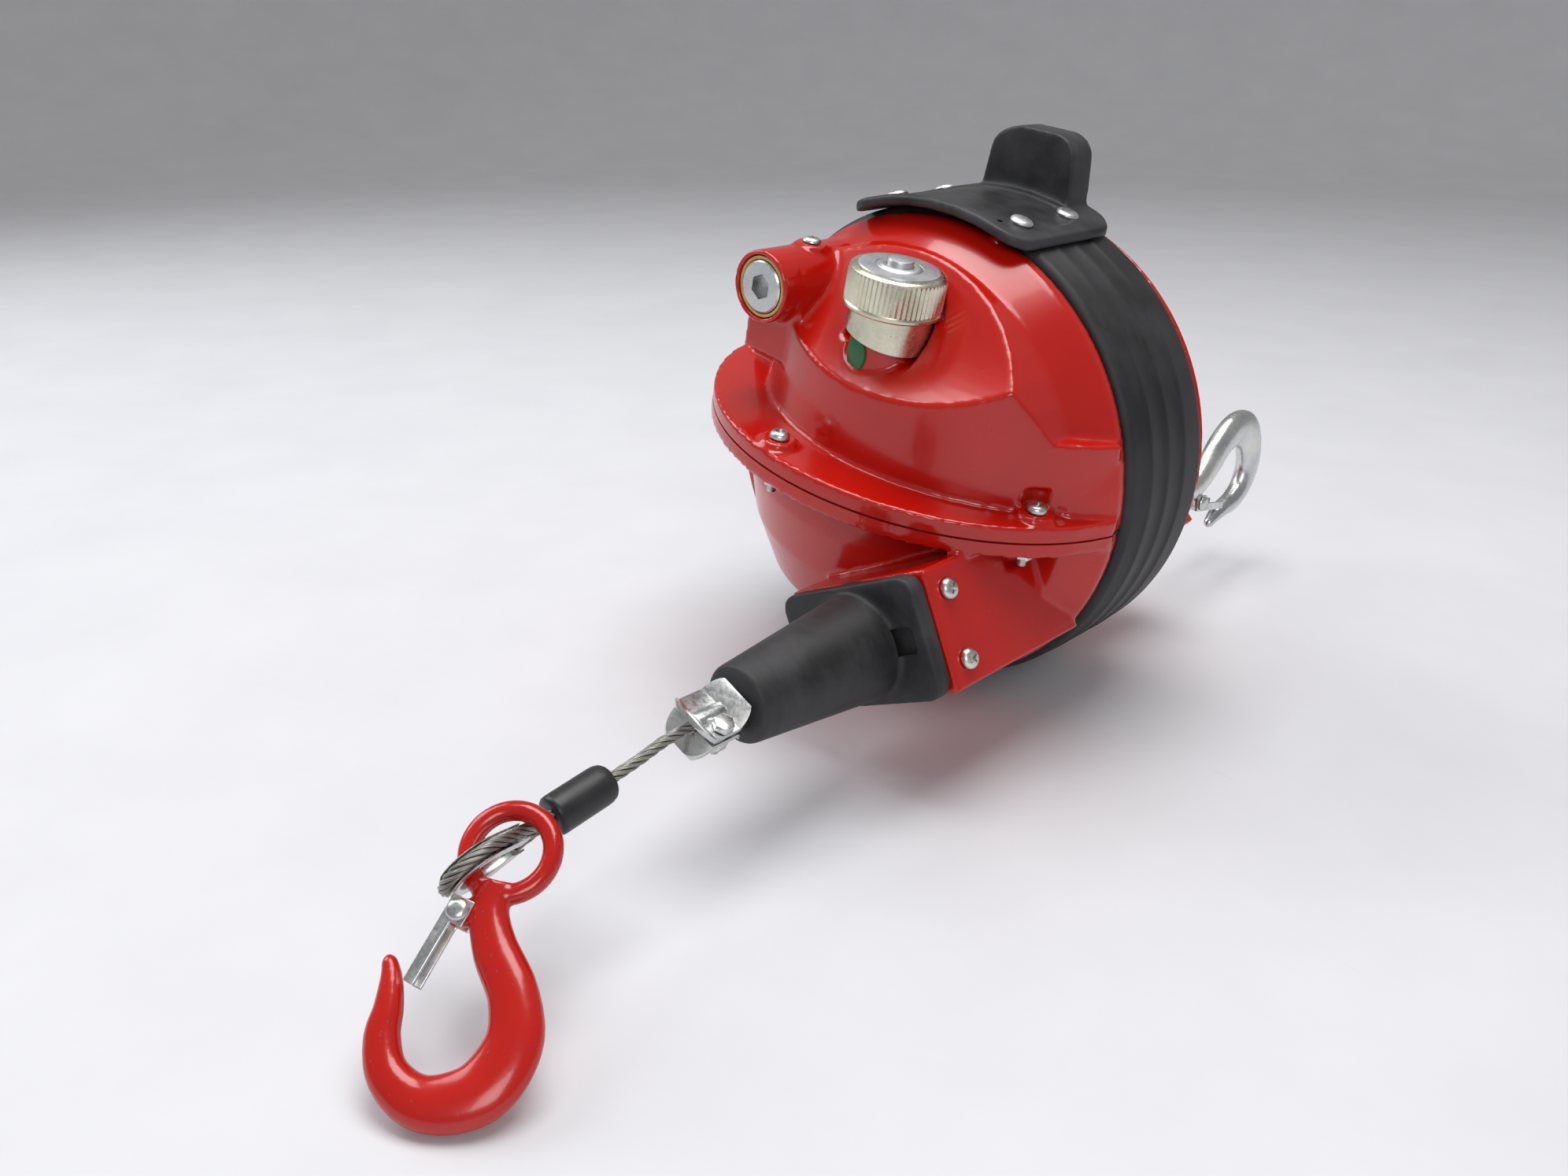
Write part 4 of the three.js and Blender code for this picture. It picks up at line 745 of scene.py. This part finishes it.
def trued(points):
    """Rounds the waist under the belt, then the front, the rim, the bowl and the dome."""
    v, u, w = points.T
    waist = (u > -26.5) & (u < 92.5)
    v, w = rounded_out(v, w, 48, 103, 119, waist)
    back_rim = 114.5
    behind = (u > 66.6) & (u < 73.5) & (np.hypot(v, w) > back_rim) & (np.abs(w - 11) > 9)
    tuck = np.where(behind, back_rim / np.hypot(v, w), 1.0)
    v, w = v * tuck, w * tuck

    def about(centre_v, centre_u, low, high, allowed):
        x, y = rounded_out(v - centre_v, u - centre_u, 32, low, high, allowed)
        return np.where(allowed, x + centre_v, v), np.where(allowed, y + centre_u, u)

    v, u = about(8, 30, 106.6, 108.6, (u < -6.5) & (w > 12))
    v, u = about(0, FLANGE_CENTRE, 118.2, 120.6, (w > 3) & (w < 22) & ~waist)
    v, u = about(0, FLANGE_CENTRE, 52, 98,
                 (w < 3) & ~waist & (np.hypot(v, u - FLANGE_CENTRE) < 98))
    v, u = about(0, FLANGE_CENTRE, 58, 99, (w > 20) & (u > 92.5))
    return np.stack((v, u, w), 1)


def widened(points, gain):
    """Moves points away from the flange's centre, in its own plane."""
    v, u, w = points.T
    return np.stack((v * gain, (u - FLANGE_CENTRE) * gain + FLANGE_CENTRE, w), 1)


def reshaped(made, place, change):
    """Moves a mesh's points by a rule that is written in the millimetres of a place."""
    points = np.empty(len(made.data.vertices) * 3)
    made.data.vertices.foreach_get("co", points)
    points = np.c_[points.reshape(-1, 3), np.ones(len(points) // 3)] @ np.array(place.inverted()).T
    points = np.c_[change(points[:, :3]), np.ones(len(points))] @ np.array(place).T
    made.data.vertices.foreach_set("co", points[:, :3].ravel())
    return made


MOST_FACES = 92000


def casting(node, name, voxel, passes, parting):
    made = copy_of(node, name)
    remesh = made.modifiers.new("skin", "REMESH")
    remesh.mode = "VOXEL"
    remesh.voxel_size = voxel * MM
    reshaped(settled(made), CASE, trued)
    relaxed(made, passes)

    def squared(points):
        """Brings the flange's mating edge back to its true plane and radius."""
        v, u, w = points.T
        radius = np.hypot(v, u - FLANGE_CENTRE)
        face = np.abs(w - parting) < 1.3
        edge = face & (radius > 117.3) & ((u < -7) | (u > 73))
        level = np.stack((v, u, np.where(face, parting, w)), 1)
        return widened(level, np.where(edge, 119.9 / radius, 1.0))

    reshaped(made, CASE, squared)
    thin = made.modifiers.new("thin", "DECIMATE")
    thin.ratio = min(1.0, MOST_FACES / len(made.data.polygons))
    return settled(made)


upper = casting("upper_case", "upper_casting", 1.25, 2, 11.55)
finished(upper, case_enamel, "case", "red_enamel", "upper_case", degrees=60)
lower = casting("lower_case", "lower_casting", 1.3, 3, 10.45)
finished(lower, case_enamel, "case", "red_enamel", "lower_case", degrees=60)

# %% [markdown]
# ## The belt
# The rubber belt is one rule: a section swept round a circle, with three fine ribs left by its
# mould. Geometry Nodes does this with Curve to Mesh, and its radius stays a named input.

# %% Tree helpers


class Tree:
    """A Geometry Nodes group with named inputs."""

    def __init__(self, name, **inputs):
        self.group = bpy.data.node_groups.new(name, "GeometryNodeTree")
        face = self.group.interface
        face.new_socket("Geometry", in_out="INPUT", socket_type="NodeSocketGeometry")
        self.identifiers = {}
        for key, kind in inputs.items():
            socket = face.new_socket(key, in_out="INPUT", socket_type="NodeSocket" + kind)
            self.identifiers[key] = socket.identifier
        face.new_socket("Geometry", in_out="OUTPUT", socket_type="NodeSocketGeometry")
        self.start = self.group.nodes.new("NodeGroupInput").outputs

    def node(self, kind, settings=None, inputs=None, output=0):
        made = self.group.nodes.new(kind)
        for key, value in (settings or {}).items():
            setattr(made, key, value)
        for key, value in (inputs or {}).items():
            if isinstance(value, bpy.types.NodeSocket):
                self.group.links.new(value, made.inputs[key])
            else:
                made.inputs[key].default_value = value
        return made.outputs[output]

    def end(self, geometry, material):
        real = self.node("GeometryNodeRealizeInstances", None, {"Geometry": geometry})
        painted = self.node("GeometryNodeSetMaterial", None,
                            {"Geometry": real, "Material": material})
        out = self.group.nodes.new("NodeGroupOutput")
        self.group.links.new(painted, out.inputs[0])

    def grow(self, made, **values):
        modifier = made.modifiers.new("tree", "NODES")
        modifier.node_group = self.group
        for key, value in values.items():
            modifier[self.identifiers[key]] = value
        return settled(made)


# %% [markdown]
# The section is drawn as a small loop of points, from the seat up over the bevels and ribs. The
# tree turns it into a curve and carries it round the ring.

# %% Ribbed belt
edge_rise = [(0.4, -9.4), (0.4, -4.2), (0.9, -2.6), (2.2, -1.2), (4.2, -0.5)]
belt_section = list(edge_rise)
for rib in (18, 33, 48):
    belt_section += [(rib - 2.2, -0.5), (rib - 1.4, -0.02), (rib + 1.4, -0.02), (rib + 2.2, -0.5)]
belt_section += [(BELT_WIDTH - y, z) for y, z in reversed(edge_rise)]
loop = bpy.data.meshes.new("belt_section")
loop.from_pydata([(z * MM, (y - BELT_WIDTH / 2) * MM, 0) for y, z in belt_section],
                 [(i, (i + 1) % len(belt_section)) for i in range(len(belt_section))], [])
belt = added("ribbed_belt", loop)

ring_tree = Tree("ring_belt", Radius="Float", Steps="Int")
profile_curve = ring_tree.node("GeometryNodeMeshToCurve", None, {"Mesh": ring_tree.start[0]})
circle = ring_tree.node("GeometryNodeCurvePrimitiveCircle", None,
                        {"Resolution": ring_tree.start[2], "Radius": ring_tree.start[1]})
ring_tree.end(ring_tree.node("GeometryNodeCurveToMesh", None,
                             {"Curve": circle, "Profile Curve": profile_curve}), belt_rubber)
ring_tree.grow(belt, Radius=0.1217, Steps=192)
belt.data.transform(shift(0, 0, BELT_CENTRE * MM) @ turn(90, "X"))
heal(belt)
finished(belt, belt_rubber, "case", "black_rubber", "rubber_belt", degrees=40)

# %% [markdown]
# The closure is a thick rubber plate that covers the belt's joint, with a tab to lift it by. It is
# remeshed and relaxed like a casting. Then its middle is pressed in by 1 mm, which leaves the thick
# rounded rim of the real moulding.

# %% Closure plate


def eased(distance, low, high):
    t = np.clip((distance - low) / (high - low), 0, 1)
    return t * t * (3 - 2 * t)


PRESSED = 1.0


def pressed_in(points):
    """Lowers the plate's outer face inside a rounded rectangle, in the plate's own place."""
    v, u, w = points.T
    radius = np.hypot(v, w)
    inside = np.minimum(51.5 - 6 - np.abs(v), np.minimum(u + 16 - 6, 46 - u))
    corner = np.hypot(np.maximum(np.abs(v) - 33, 0), np.maximum(np.abs(u - 17) - 17, 0))
    inside = np.minimum(inside, 12.5 - corner)
    skin = eased(radius, 125.4, 126.8) * (radius < 129)
    gain = 1 - PRESSED * eased(inside, 0, 2.6) * skin / radius
    return np.stack((v * gain, u, w * gain), 1)


PLATE_TURN = -7
PLATE = CASE @ turn(PLATE_TURN, "Y")
closure = copy_of("belt_closure", "moulded_closure")
welded(closure, [], 0.85, 9)
reshaped(closure, PLATE, pressed_in)
pin_holes = [lathe("hole", [(0, 120), (1.5, 120), (1.5, 130), (0, 130)],
                   PLATE @ turn(angle, "Y") @ shift(0, -5, 0), 16) for angle in (-15, 15)]
combined(closure, pin_holes)
finished(closure, closure_rubber, "case", "black_rubber", "belt_closure", degrees=60)

# %% [markdown]
# ## Outlet
# The rope leaves through a rubber bumper: a plate with a cone on it, moulded in one. Welding the
# three simple shapes gives the moulding's soft corners. A shallow recess beside the cone and the
# rope's bore are cut last, so that they stay crisp.

# %% Bumper cone


def rounded_rectangle(width, height, radius, steps=6):
    outline = []
    for cx, cy, start in ((1, 1, 0), (-1, 1, 90), (-1, -1, 180), (1, -1, 270)):
        for i in range(steps + 1):
            a = math.radians(start + 90 * i / steps)
            outline.append((cx * (width / 2 - radius) + radius * math.cos(a),
                            cy * (height / 2 - radius) + radius * math.sin(a)))
    return outline


def prism(name, outline, z0, z1, at):
    count = len(outline)
    verts = [(x, y, z0) for x, y in outline] + [(x, y, z1) for x, y in outline]
    faces = [tuple(range(count)), tuple(range(2 * count - 1, count - 1, -1))]
    faces += [(i, (i + 1) % count, count + (i + 1) % count, count + i) for i in range(count)]
    return piece(name, verts, faces, at)


PLATE_FACE = LOAD_LINE @ turn(-36, "Y") @ turn(90, "X")
DOWN_LINE = LOAD_LINE @ turn(90, "X")
cone_profile = [(0, 101), (29, 101), (26.4, 103.5), (25.2, 107), (24.9, 111), (17.4, 183),
                (16.6, 184.6), (0, 185)]
cone = lathe("moulded_bumper", cone_profile, DOWN_LINE, 64)
bumper_plate = prism("bumper_plate", rounded_rectangle(82, 56, 8), 100.3, 109.3, PLATE_FACE)
welded(cone, [bumper_plate], 1.0, 4)
recess_outline = [(x + 26.5, y) for x, y in rounded_rectangle(17, 12.5, 2.5)]
recess = prism("recess", recess_outline, 107.2, 111, PLATE_FACE)
bore = lathe("bore", [(0, 99), (3.98, 99), (3.98, 186), (0, 186)], DOWN_LINE, 32)
combined(cone, [recess, bore])
finished(cone, cone_rubber, "case", "black_rubber", "bumper_cone", degrees=45)

# %% [markdown]
# ## Screws, nuts and rivets
# Ten pan-head screws, six nuts and four rivets hold the balancer together. Each kind is modelled
# once. A Geometry Nodes tree then sets it on points that carry the way each one faces.

# %% Scatter tree
scatter = Tree("set_hardware", Prototype="Object", Finish="Material")
aim = scatter.node("GeometryNodeInputNamedAttribute", {"data_type": "FLOAT_VECTOR"},
                   {"Name": "aim"})
facing = scatter.node("FunctionNodeEulerToRotation", None, {0: aim})
model = scatter.node("GeometryNodeObjectInfo", {"transform_space": "ORIGINAL"},
                     {"Object": scatter.start[1]}, output="Geometry")
scatter.end(scatter.node("GeometryNodeInstanceOnPoints", None, {
    "Points": scatter.start[0], "Instance": model, "Rotation": facing}), scatter.start[2])


def set_hardware(name, prototype, places, material, body, slot, nodes, degrees=35):
    mesh = bpy.data.meshes.new(name)
    mesh.from_pydata([at.translation for at in places], [], [])
    attribute = mesh.attributes.new("aim", "FLOAT_VECTOR", "POINT")
    for datum, at in zip(attribute.data, places):
        datum.vector = at.to_3x3().normalized().to_euler()
    made = added(name, mesh)
    scatter.grow(made, Prototype=prototype, Finish=material)
    bpy.data.objects.remove(prototype)
    return finished(made, material, body, slot, *nodes, degrees=degrees)


def numbered(name, count):
    return [f"{name}_{i}" for i in range(1, count + 1)]


# %% [markdown]
# A pan-head screw has a low rounded head with a cross recess, and a thread of fine grooves. The
# long ones reach through both flanges into a nut, and the short ones hold the outlet.

# %% Screws


def with_cross(made, top, at=MILLIMETRES, size=2.7):
    bars = [block("bar", (-size, size), (-0.55, 0.55), (top - 1.9, top + 2), at @ turn(a, "Z"))
            for a in (45, 135)]
    return combined(made, bars)


HEAD_TOP = 3.4


def pan_screw(name, shank, threaded):
    profile = [(0, -shank), (1.9, -shank)]
    z = -shank + 0.5
    while z < threaded - shank:
        profile += [(2.4, z), (2.4, z + 0.25), (2.05, z + 0.5), (2.05, z + 0.7)]
        z += 0.8
    profile += [(2.4, z), (2.4, 0), (4.5, 0), (4.8, 0.3), (4.8, 1.2), (4.6, 1.9), (4.0, 2.6),
                (3.0, 3.1), (1.6, 3.35), (0, HEAD_TOP)]
    return with_cross(lathe(name, profile, MILLIMETRES, 28), HEAD_TOP)


BOLT_CIRCLE = 109
FLANGE = [CASE @ shift(BOLT_CIRCLE * math.cos(math.radians(angle)),
                       FLANGE_CENTRE + BOLT_CIRCLE * math.sin(math.radians(angle)), 0)
          @ turn(angle, "Z") for angle in (-30, -98, -164, 40, 90, 140)]
long_screw = pan_screw("long_screw", 28.2, 9)
set_hardware("flange_screws", long_screw, [at @ shift(0, 0, 22.1) for at in FLANGE], zinc_plate,
             "case", "zinc_plate", numbered("flange_screw", 6))
short_screw = pan_screw("short_screw", 16, 12)
outlet_side = LOAD_LINE @ turn(-36, "Y")
set_hardware("guide_screws", short_screw, [
    outlet_side @ shift(side * 42.3, -88, z) @ turn(side * 90, "Y") @ turn(z, "Z")
    for side in (1, -1) for z in (-16, 16)],
    zinc_plate, "case", "zinc_plate", numbered("guide_screw", 4))

# %% [markdown]
# A nut is a lathe profile turned in only six steps: its chamfers come out as the flats they are.
# The rivets are flat domes.

# %% Nuts and rivets
hex_nut = lathe("hex_nut", [(2.8, 0), (4.1, 0), (4.6, 0.45), (4.6, 3.55), (4.1, 4), (2.8, 4)],
                MILLIMETRES, 6)
set_hardware("flange_nuts", hex_nut, [at @ shift(0, 0, -2.1) for at in FLANGE], zinc_plate,
             "case", "zinc_plate", numbered("flange_nut", 6), degrees=20)

rivet_profile = [(0, -5), (2.9, -5), (2.9, -1.3), (5.3, -1.3), (5.5, -0.9), (5.5, -0.2),
                 (5.0, 0.5), (4.0, 0.95), (2.4, 1.25), (0, 1.35)]
flat_rivet = lathe("flat_rivet", rivet_profile, MILLIMETRES, 40)
set_hardware("closure_rivets", flat_rivet, [
    PLATE @ turn(angle, "Y") @ shift(0, y, 127.3) for angle in (-17, 17) for y in (6, 44)],
    rivet_metal, "case", "bare_rivet", numbered("closure_rivet", 4))

# %% [markdown]
# ## Adjusting screw
# A hex key in this worm sets the spring's tension. Its steel head sits in a brass ring, and a small
# plug beside it closes the lubrication hole.

# %% Worm and its ring
WORM_AXIS = WORM @ turn(-90, "X")
THREAD_PITCH = 6
worm_profile = [(0, -77), (11.5, -77), (12.2, -76.3), (12.2, -66.4), (11.8, -66), (6, -66),
                (6, -3.2)]
for y in range(-3, 33, THREAD_PITCH):
    worm_profile += [(6, y - 0.1), (10, y + 0.7), (10, y + 2.2), (6, y + 3)]
worm_profile += [(6, 36), (0, 36)]
worm = lathe("tension_screw", worm_profile, WORM_AXIS, 64)
socket_profile = [(0, -78), (6.1, -78), (6.1, -76.9), (5.77, -76.2), (5.77, -70), (0, -70)]
key_socket = lathe("key_socket", socket_profile, WORM_AXIS @ turn(30, "Z"), 6)
combined(worm, [key_socket])
finished(worm, zinc_plate, "tension_worm", "machined_steel", "worm_shaft", degrees=30)
bush_profile = [(6.3, -64), (14.4, -64), (14.4, -75.7), (14.1, -76.2), (12.8, -76.2),
                (12.5, -75.8), (12.5, -65.5), (6.3, -65.5)]
brass_ring = lathe("brass_ring", bush_profile, WORM_AXIS, 64)
finished(brass_ring, bronze, "case", "bearing_bronze", "worm_bush", degrees=30)
PLUG = WORM @ shift(0, -46, 18)
PLUG_TOP = 2.4
plug_profile = [(0, -4), (2.9, -4), (2.9, 0.3), (4.3, 0.3), (4.5, 0.6), (4.3, 1.3), (3.6, 1.9),
                (2.2, 2.3), (0, PLUG_TOP)]
plug = lathe("worm_plug_turned", plug_profile, PLUG, 32)
with_cross(plug, PLUG_TOP, PLUG, 2.3)
finished(plug, zinc_plate, "case", "zinc_plate", "worm_plug")

# %% [markdown]
# ## Lock knob
# Pulling and turning this knob drops a pin into the drum. Its grip is knurled with straight
# grooves. A tree moves every other column of points inwards, between two heights.

# %% Knurl tree
knurl = Tree("straight_knurl", Count="Int", Depth="Float", Low="Float", High="Float")
where = knurl.node("GeometryNodeInputPosition")
parts = knurl.node("ShaderNodeSeparateXYZ", None, {0: where}).node


def wired(operation, *inputs):
    return knurl.node("ShaderNodeMath", {"operation": operation}, dict(enumerate(inputs)))


around = wired("DIVIDE", wired("ARCTAN2", parts.outputs[1], parts.outputs[0]), 2 * math.pi)
column = wired("ROUND", wired("MULTIPLY", wired("MULTIPLY", around, knurl.start[1]), 2.0))
odd = wired("GREATER_THAN", wired("FLOORED_MODULO", column, 2.0), 0.5)
above = wired("GREATER_THAN", parts.outputs[2], knurl.start[3])
below = wired("LESS_THAN", parts.outputs[2], knurl.start[4])
flat = knurl.node("ShaderNodeVectorMath", {"operation": "MULTIPLY"}, {0: where, 1: (1, 1, 0)})
size = knurl.node("ShaderNodeVectorMath", {"operation": "LENGTH"}, {0: flat}, output="Value")
GRIP_FROM = 0.0215
grip = wired("GREATER_THAN", size, GRIP_FROM)
chosen = wired("MULTIPLY", wired("MULTIPLY", odd, grip), wired("MULTIPLY", above, below))
push = wired("MULTIPLY", wired("DIVIDE", knurl.start[2], size), wired("MULTIPLY", chosen, -1.0))
inwards = knurl.node("ShaderNodeVectorMath", {"operation": "SCALE"}, {0: flat, "Scale": push})
knurl.end(knurl.node("GeometryNodeSetPosition", None, {
    "Geometry": knurl.start[0], "Offset": inwards}), knob_plate)

# %% [markdown]
# The knob itself is turned: a smooth skirt, a rolled bead, the grip and a flat top. Its skirt is
# cut on a slant, which is what lifts it over the boss as it turns.

# %% Knob
KNURLS = 60
knob_profile = [(16.6, 60), (19.5, 60), (19.5, 85.6), (20.4, 86.3), (21.9, 86.5), (22.4, 87.1),
                (22.4, 88.2), (21.9, 88.8), (21.8, 89.0), (22.4, 89.6), (22.4, 102.4),
                (21.9, 103.6), (21.0, 104.5), (19.8, 104.9), (19.0, 104.9), (6.3, 104.9),
                (6.3, 101), (16.6, 101)]
knob = lathe("lock_knob_turned", knob_profile, MILLIMETRES, 2 * KNURLS)
slant = block("slant", (-40, 40), (-40, 40), (-30, 0),
              MILLIMETRES @ shift(0, 0, 74) @ turn(10, "Y"))
combined(knob, [slant])
knurl.grow(knob, Count=KNURLS, Depth=0.0009, Low=0.0892, High=0.1030)
knob.data.transform(KNOB @ Matrix.Scale(1 / MM, 4))
heal(knob)
finished(knob, knob_plate, "knob", "zinc_plate", "lock_knob", degrees=38)
cap_profile = [(6.3, 104.7), (18.4, 104.7), (18.6, 105.0), (18.3, 105.5), (17.6, 105.6),
               (11.2, 105.6), (10.9, 105.35), (10.5, 105.35), (10.2, 105.65), (9.4, 106.3),
               (8.6, 106.45), (6.9, 106.45), (6.3, 106.3)]
knob_cap = lathe("knob_cap", cap_profile, KNOB, 64)
finished(knob_cap, satin_cap, "knob", "zinc_plate", degrees=30)
pin_profile = [(0, 56.3), (3.7, 56.3), (4.5, 57.3), (4.5, 95), (6, 95), (6, 108.1), (5.6, 108.8),
               (4.9, 109), (0, 109)]
lock_pin = lathe("lock_pin_turned", pin_profile, KNOB, 40)
finished(lock_pin, satin_cap, "pin", "machined_steel", "lock_pin", degrees=30)

# %% [markdown]
# Behind the knob a small cast lug carries a ring of brass wire. The green dot on the boss shows
# that the lock is open.

# %% Lug, wire ring and dot
LUG = CASE @ shift(27, -34, 72)
lug = block("ring_lug", (-6.5, 6.5), (-3.5, 3.5), (-8, 6.5), LUG)
welded(lug, [], 0.6, 6)
finished(lug, case_enamel, "case", "red_enamel", degrees=60)
wire_ring = lathe("wire_ring", ring_profile(3.4, 0.7, 10),
                  LUG @ shift(-4.6, -1, 7.2) @ turn(62, "X") @ turn(20, "Y"), 40)
finished(wire_ring, bronze, "case", "bearing_bronze", degrees=60)
OVAL = Matrix.Diagonal((1.2, 1.5, 1, 1))
dot_profile = [(0, 13.2), (5.3, 13.2), (5.4, 13.4), (5.4, 15.6), (5.1, 16.0), (3.0, 16.3),
               (0, 16.4)]
dot = lathe("green_dot", dot_profile, KNOB @ shift(0, 0, 66) @ turn(-12, "Z") @ turn(90, "X")
            @ OVAL, 40)
finished(dot, green.material, "case", "green_paint", "indicator_dot", degrees=30)

# %% [markdown]
# ## Pieces that keep their CAD shape
# The nut and washer on the suspension hook show through the hanger's window. The nut gets a
# softened copy and the washer only its finish. The drum, spring and shaft are out of sight, and
# only take their finishes.

# %% Remaining pieces
finished(softened(copy_of("swivel_nut", "swivel_nut_soft"), 0.5), zinc_plate, "suspension_set",
         "zinc_plate", "swivel_nut")
gasket = copy_of("case_gasket", "trimmed_gasket")


def drawn_in(points):
    """Keeps the gasket's edge just inside the flange's."""
    radius = np.hypot(points[:, 0], points[:, 1] - FLANGE_CENTRE)
    return widened(points, np.where(radius > 119, 118.9 / radius, 1.0))


reshaped(gasket, CASE, drawn_in)
finished(gasket, gasket_sheet, "case", "gasket_sheet", "case_gasket")
inner = {"wire_guide": nylon.material, "drum": cast_alloy}
inner.update(dict.fromkeys(("main_shaft", "rope_wound", "spring_case", "spring_cover", "mainspring",
                            "spring_arbor", "lock_spring"), machined_steel))
inner.update(dict.fromkeys(("drum_bush", "worm_wheel", "swivel_washer"), bronze))
for node, material in inner.items():
    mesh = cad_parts[node]
    for slot in mesh.material_slots:
        slot.material = material
print("carried-over nodes:", len(inner))

# %% [markdown]
# ## The pieces on the rope
# The stopper, sleeve, thimble and eye ride on the rope, and the load hook hangs in the thimble.
# Here the pieces on the rope are only gathered in a list.

on_rope = [sleeve, thimble, rope_eye] + stopper

# %% [markdown]
# ## Floor and light
# A pale floor and three large soft lights give the enamel broad highlights with soft edges. The
# floor is very slightly scuffed.

# %% Floor
paper = Finish("paper", Roughness=0.55, IOR=1.4)
marks = paper.noise(9.0, 6.0, roughness=0.6)
scuff = paper.noise(3.0, 8.0, paper.place((2, 14, 1), (0, 0, 0.5)), roughness=0.75)
shade = paper.blend(paper.between(marks, 0.3, 0.7), rgb(0.66, 0.66, 0.69), rgb(0.70, 0.70, 0.73))
paper.set(Base_Color=paper.blend(paper.between(scuff, 0.66, 0.74) * 0.35, shade,
                                 rgb(0.50, 0.48, 0.47)))
paper.bump(marks, 0.0004, 0.15)
FLAT = 2.6
CURVE = 1.4
sweep = [(0, -0.0002), (FLAT, -0.0002)] + [
    (FLAT + CURVE * math.sin(math.radians(a)), CURVE - CURVE * math.cos(math.radians(a)))
    for a in range(10, 81, 10)]
floor = lathe("floor", sweep, Matrix.Identity(4), 72)
floor.data.polygons.foreach_set("use_smooth", [True] * len(floor.data.polygons))
floor.data.materials.append(paper.material)


def soft_light(name, at, towards, size, power, colour=(1, 1, 1)):
    data = bpy.data.lights.new(name, "AREA")
    data.shape = "RECTANGLE"
    data.size, data.size_y = size
    data.energy = power
    data.color = colour
    lamp = added(name, data)
    lamp.location = at
    lamp.rotation_euler = (Vector(towards) - Vector(at)).to_track_quat("-Z", "Y").to_euler()


balancer = (0.05, -0.05, 0.1)
soft_light("overhead", (0.0, 0.1, 1.9), balancer, (1.5, 1.0), 30)
soft_light("left_window", (-1.5, -0.6, 1.3), balancer, (1.0, 1.2), 14, (0.97, 0.985, 1.0))
soft_light("behind_camera", (1.3, -1.4, 1.1), balancer, (0.8, 0.8), 10)
world = bpy.data.worlds.new("world")
bpy.context.scene.world = world
world.use_nodes = True
sky = world.node_tree.nodes["Background"].inputs
sky["Color"].default_value = rgb(1.0, 1.0, 1.0)
sky["Strength"].default_value = 0.30
bpy.context.scene.view_settings.view_transform = "Standard"
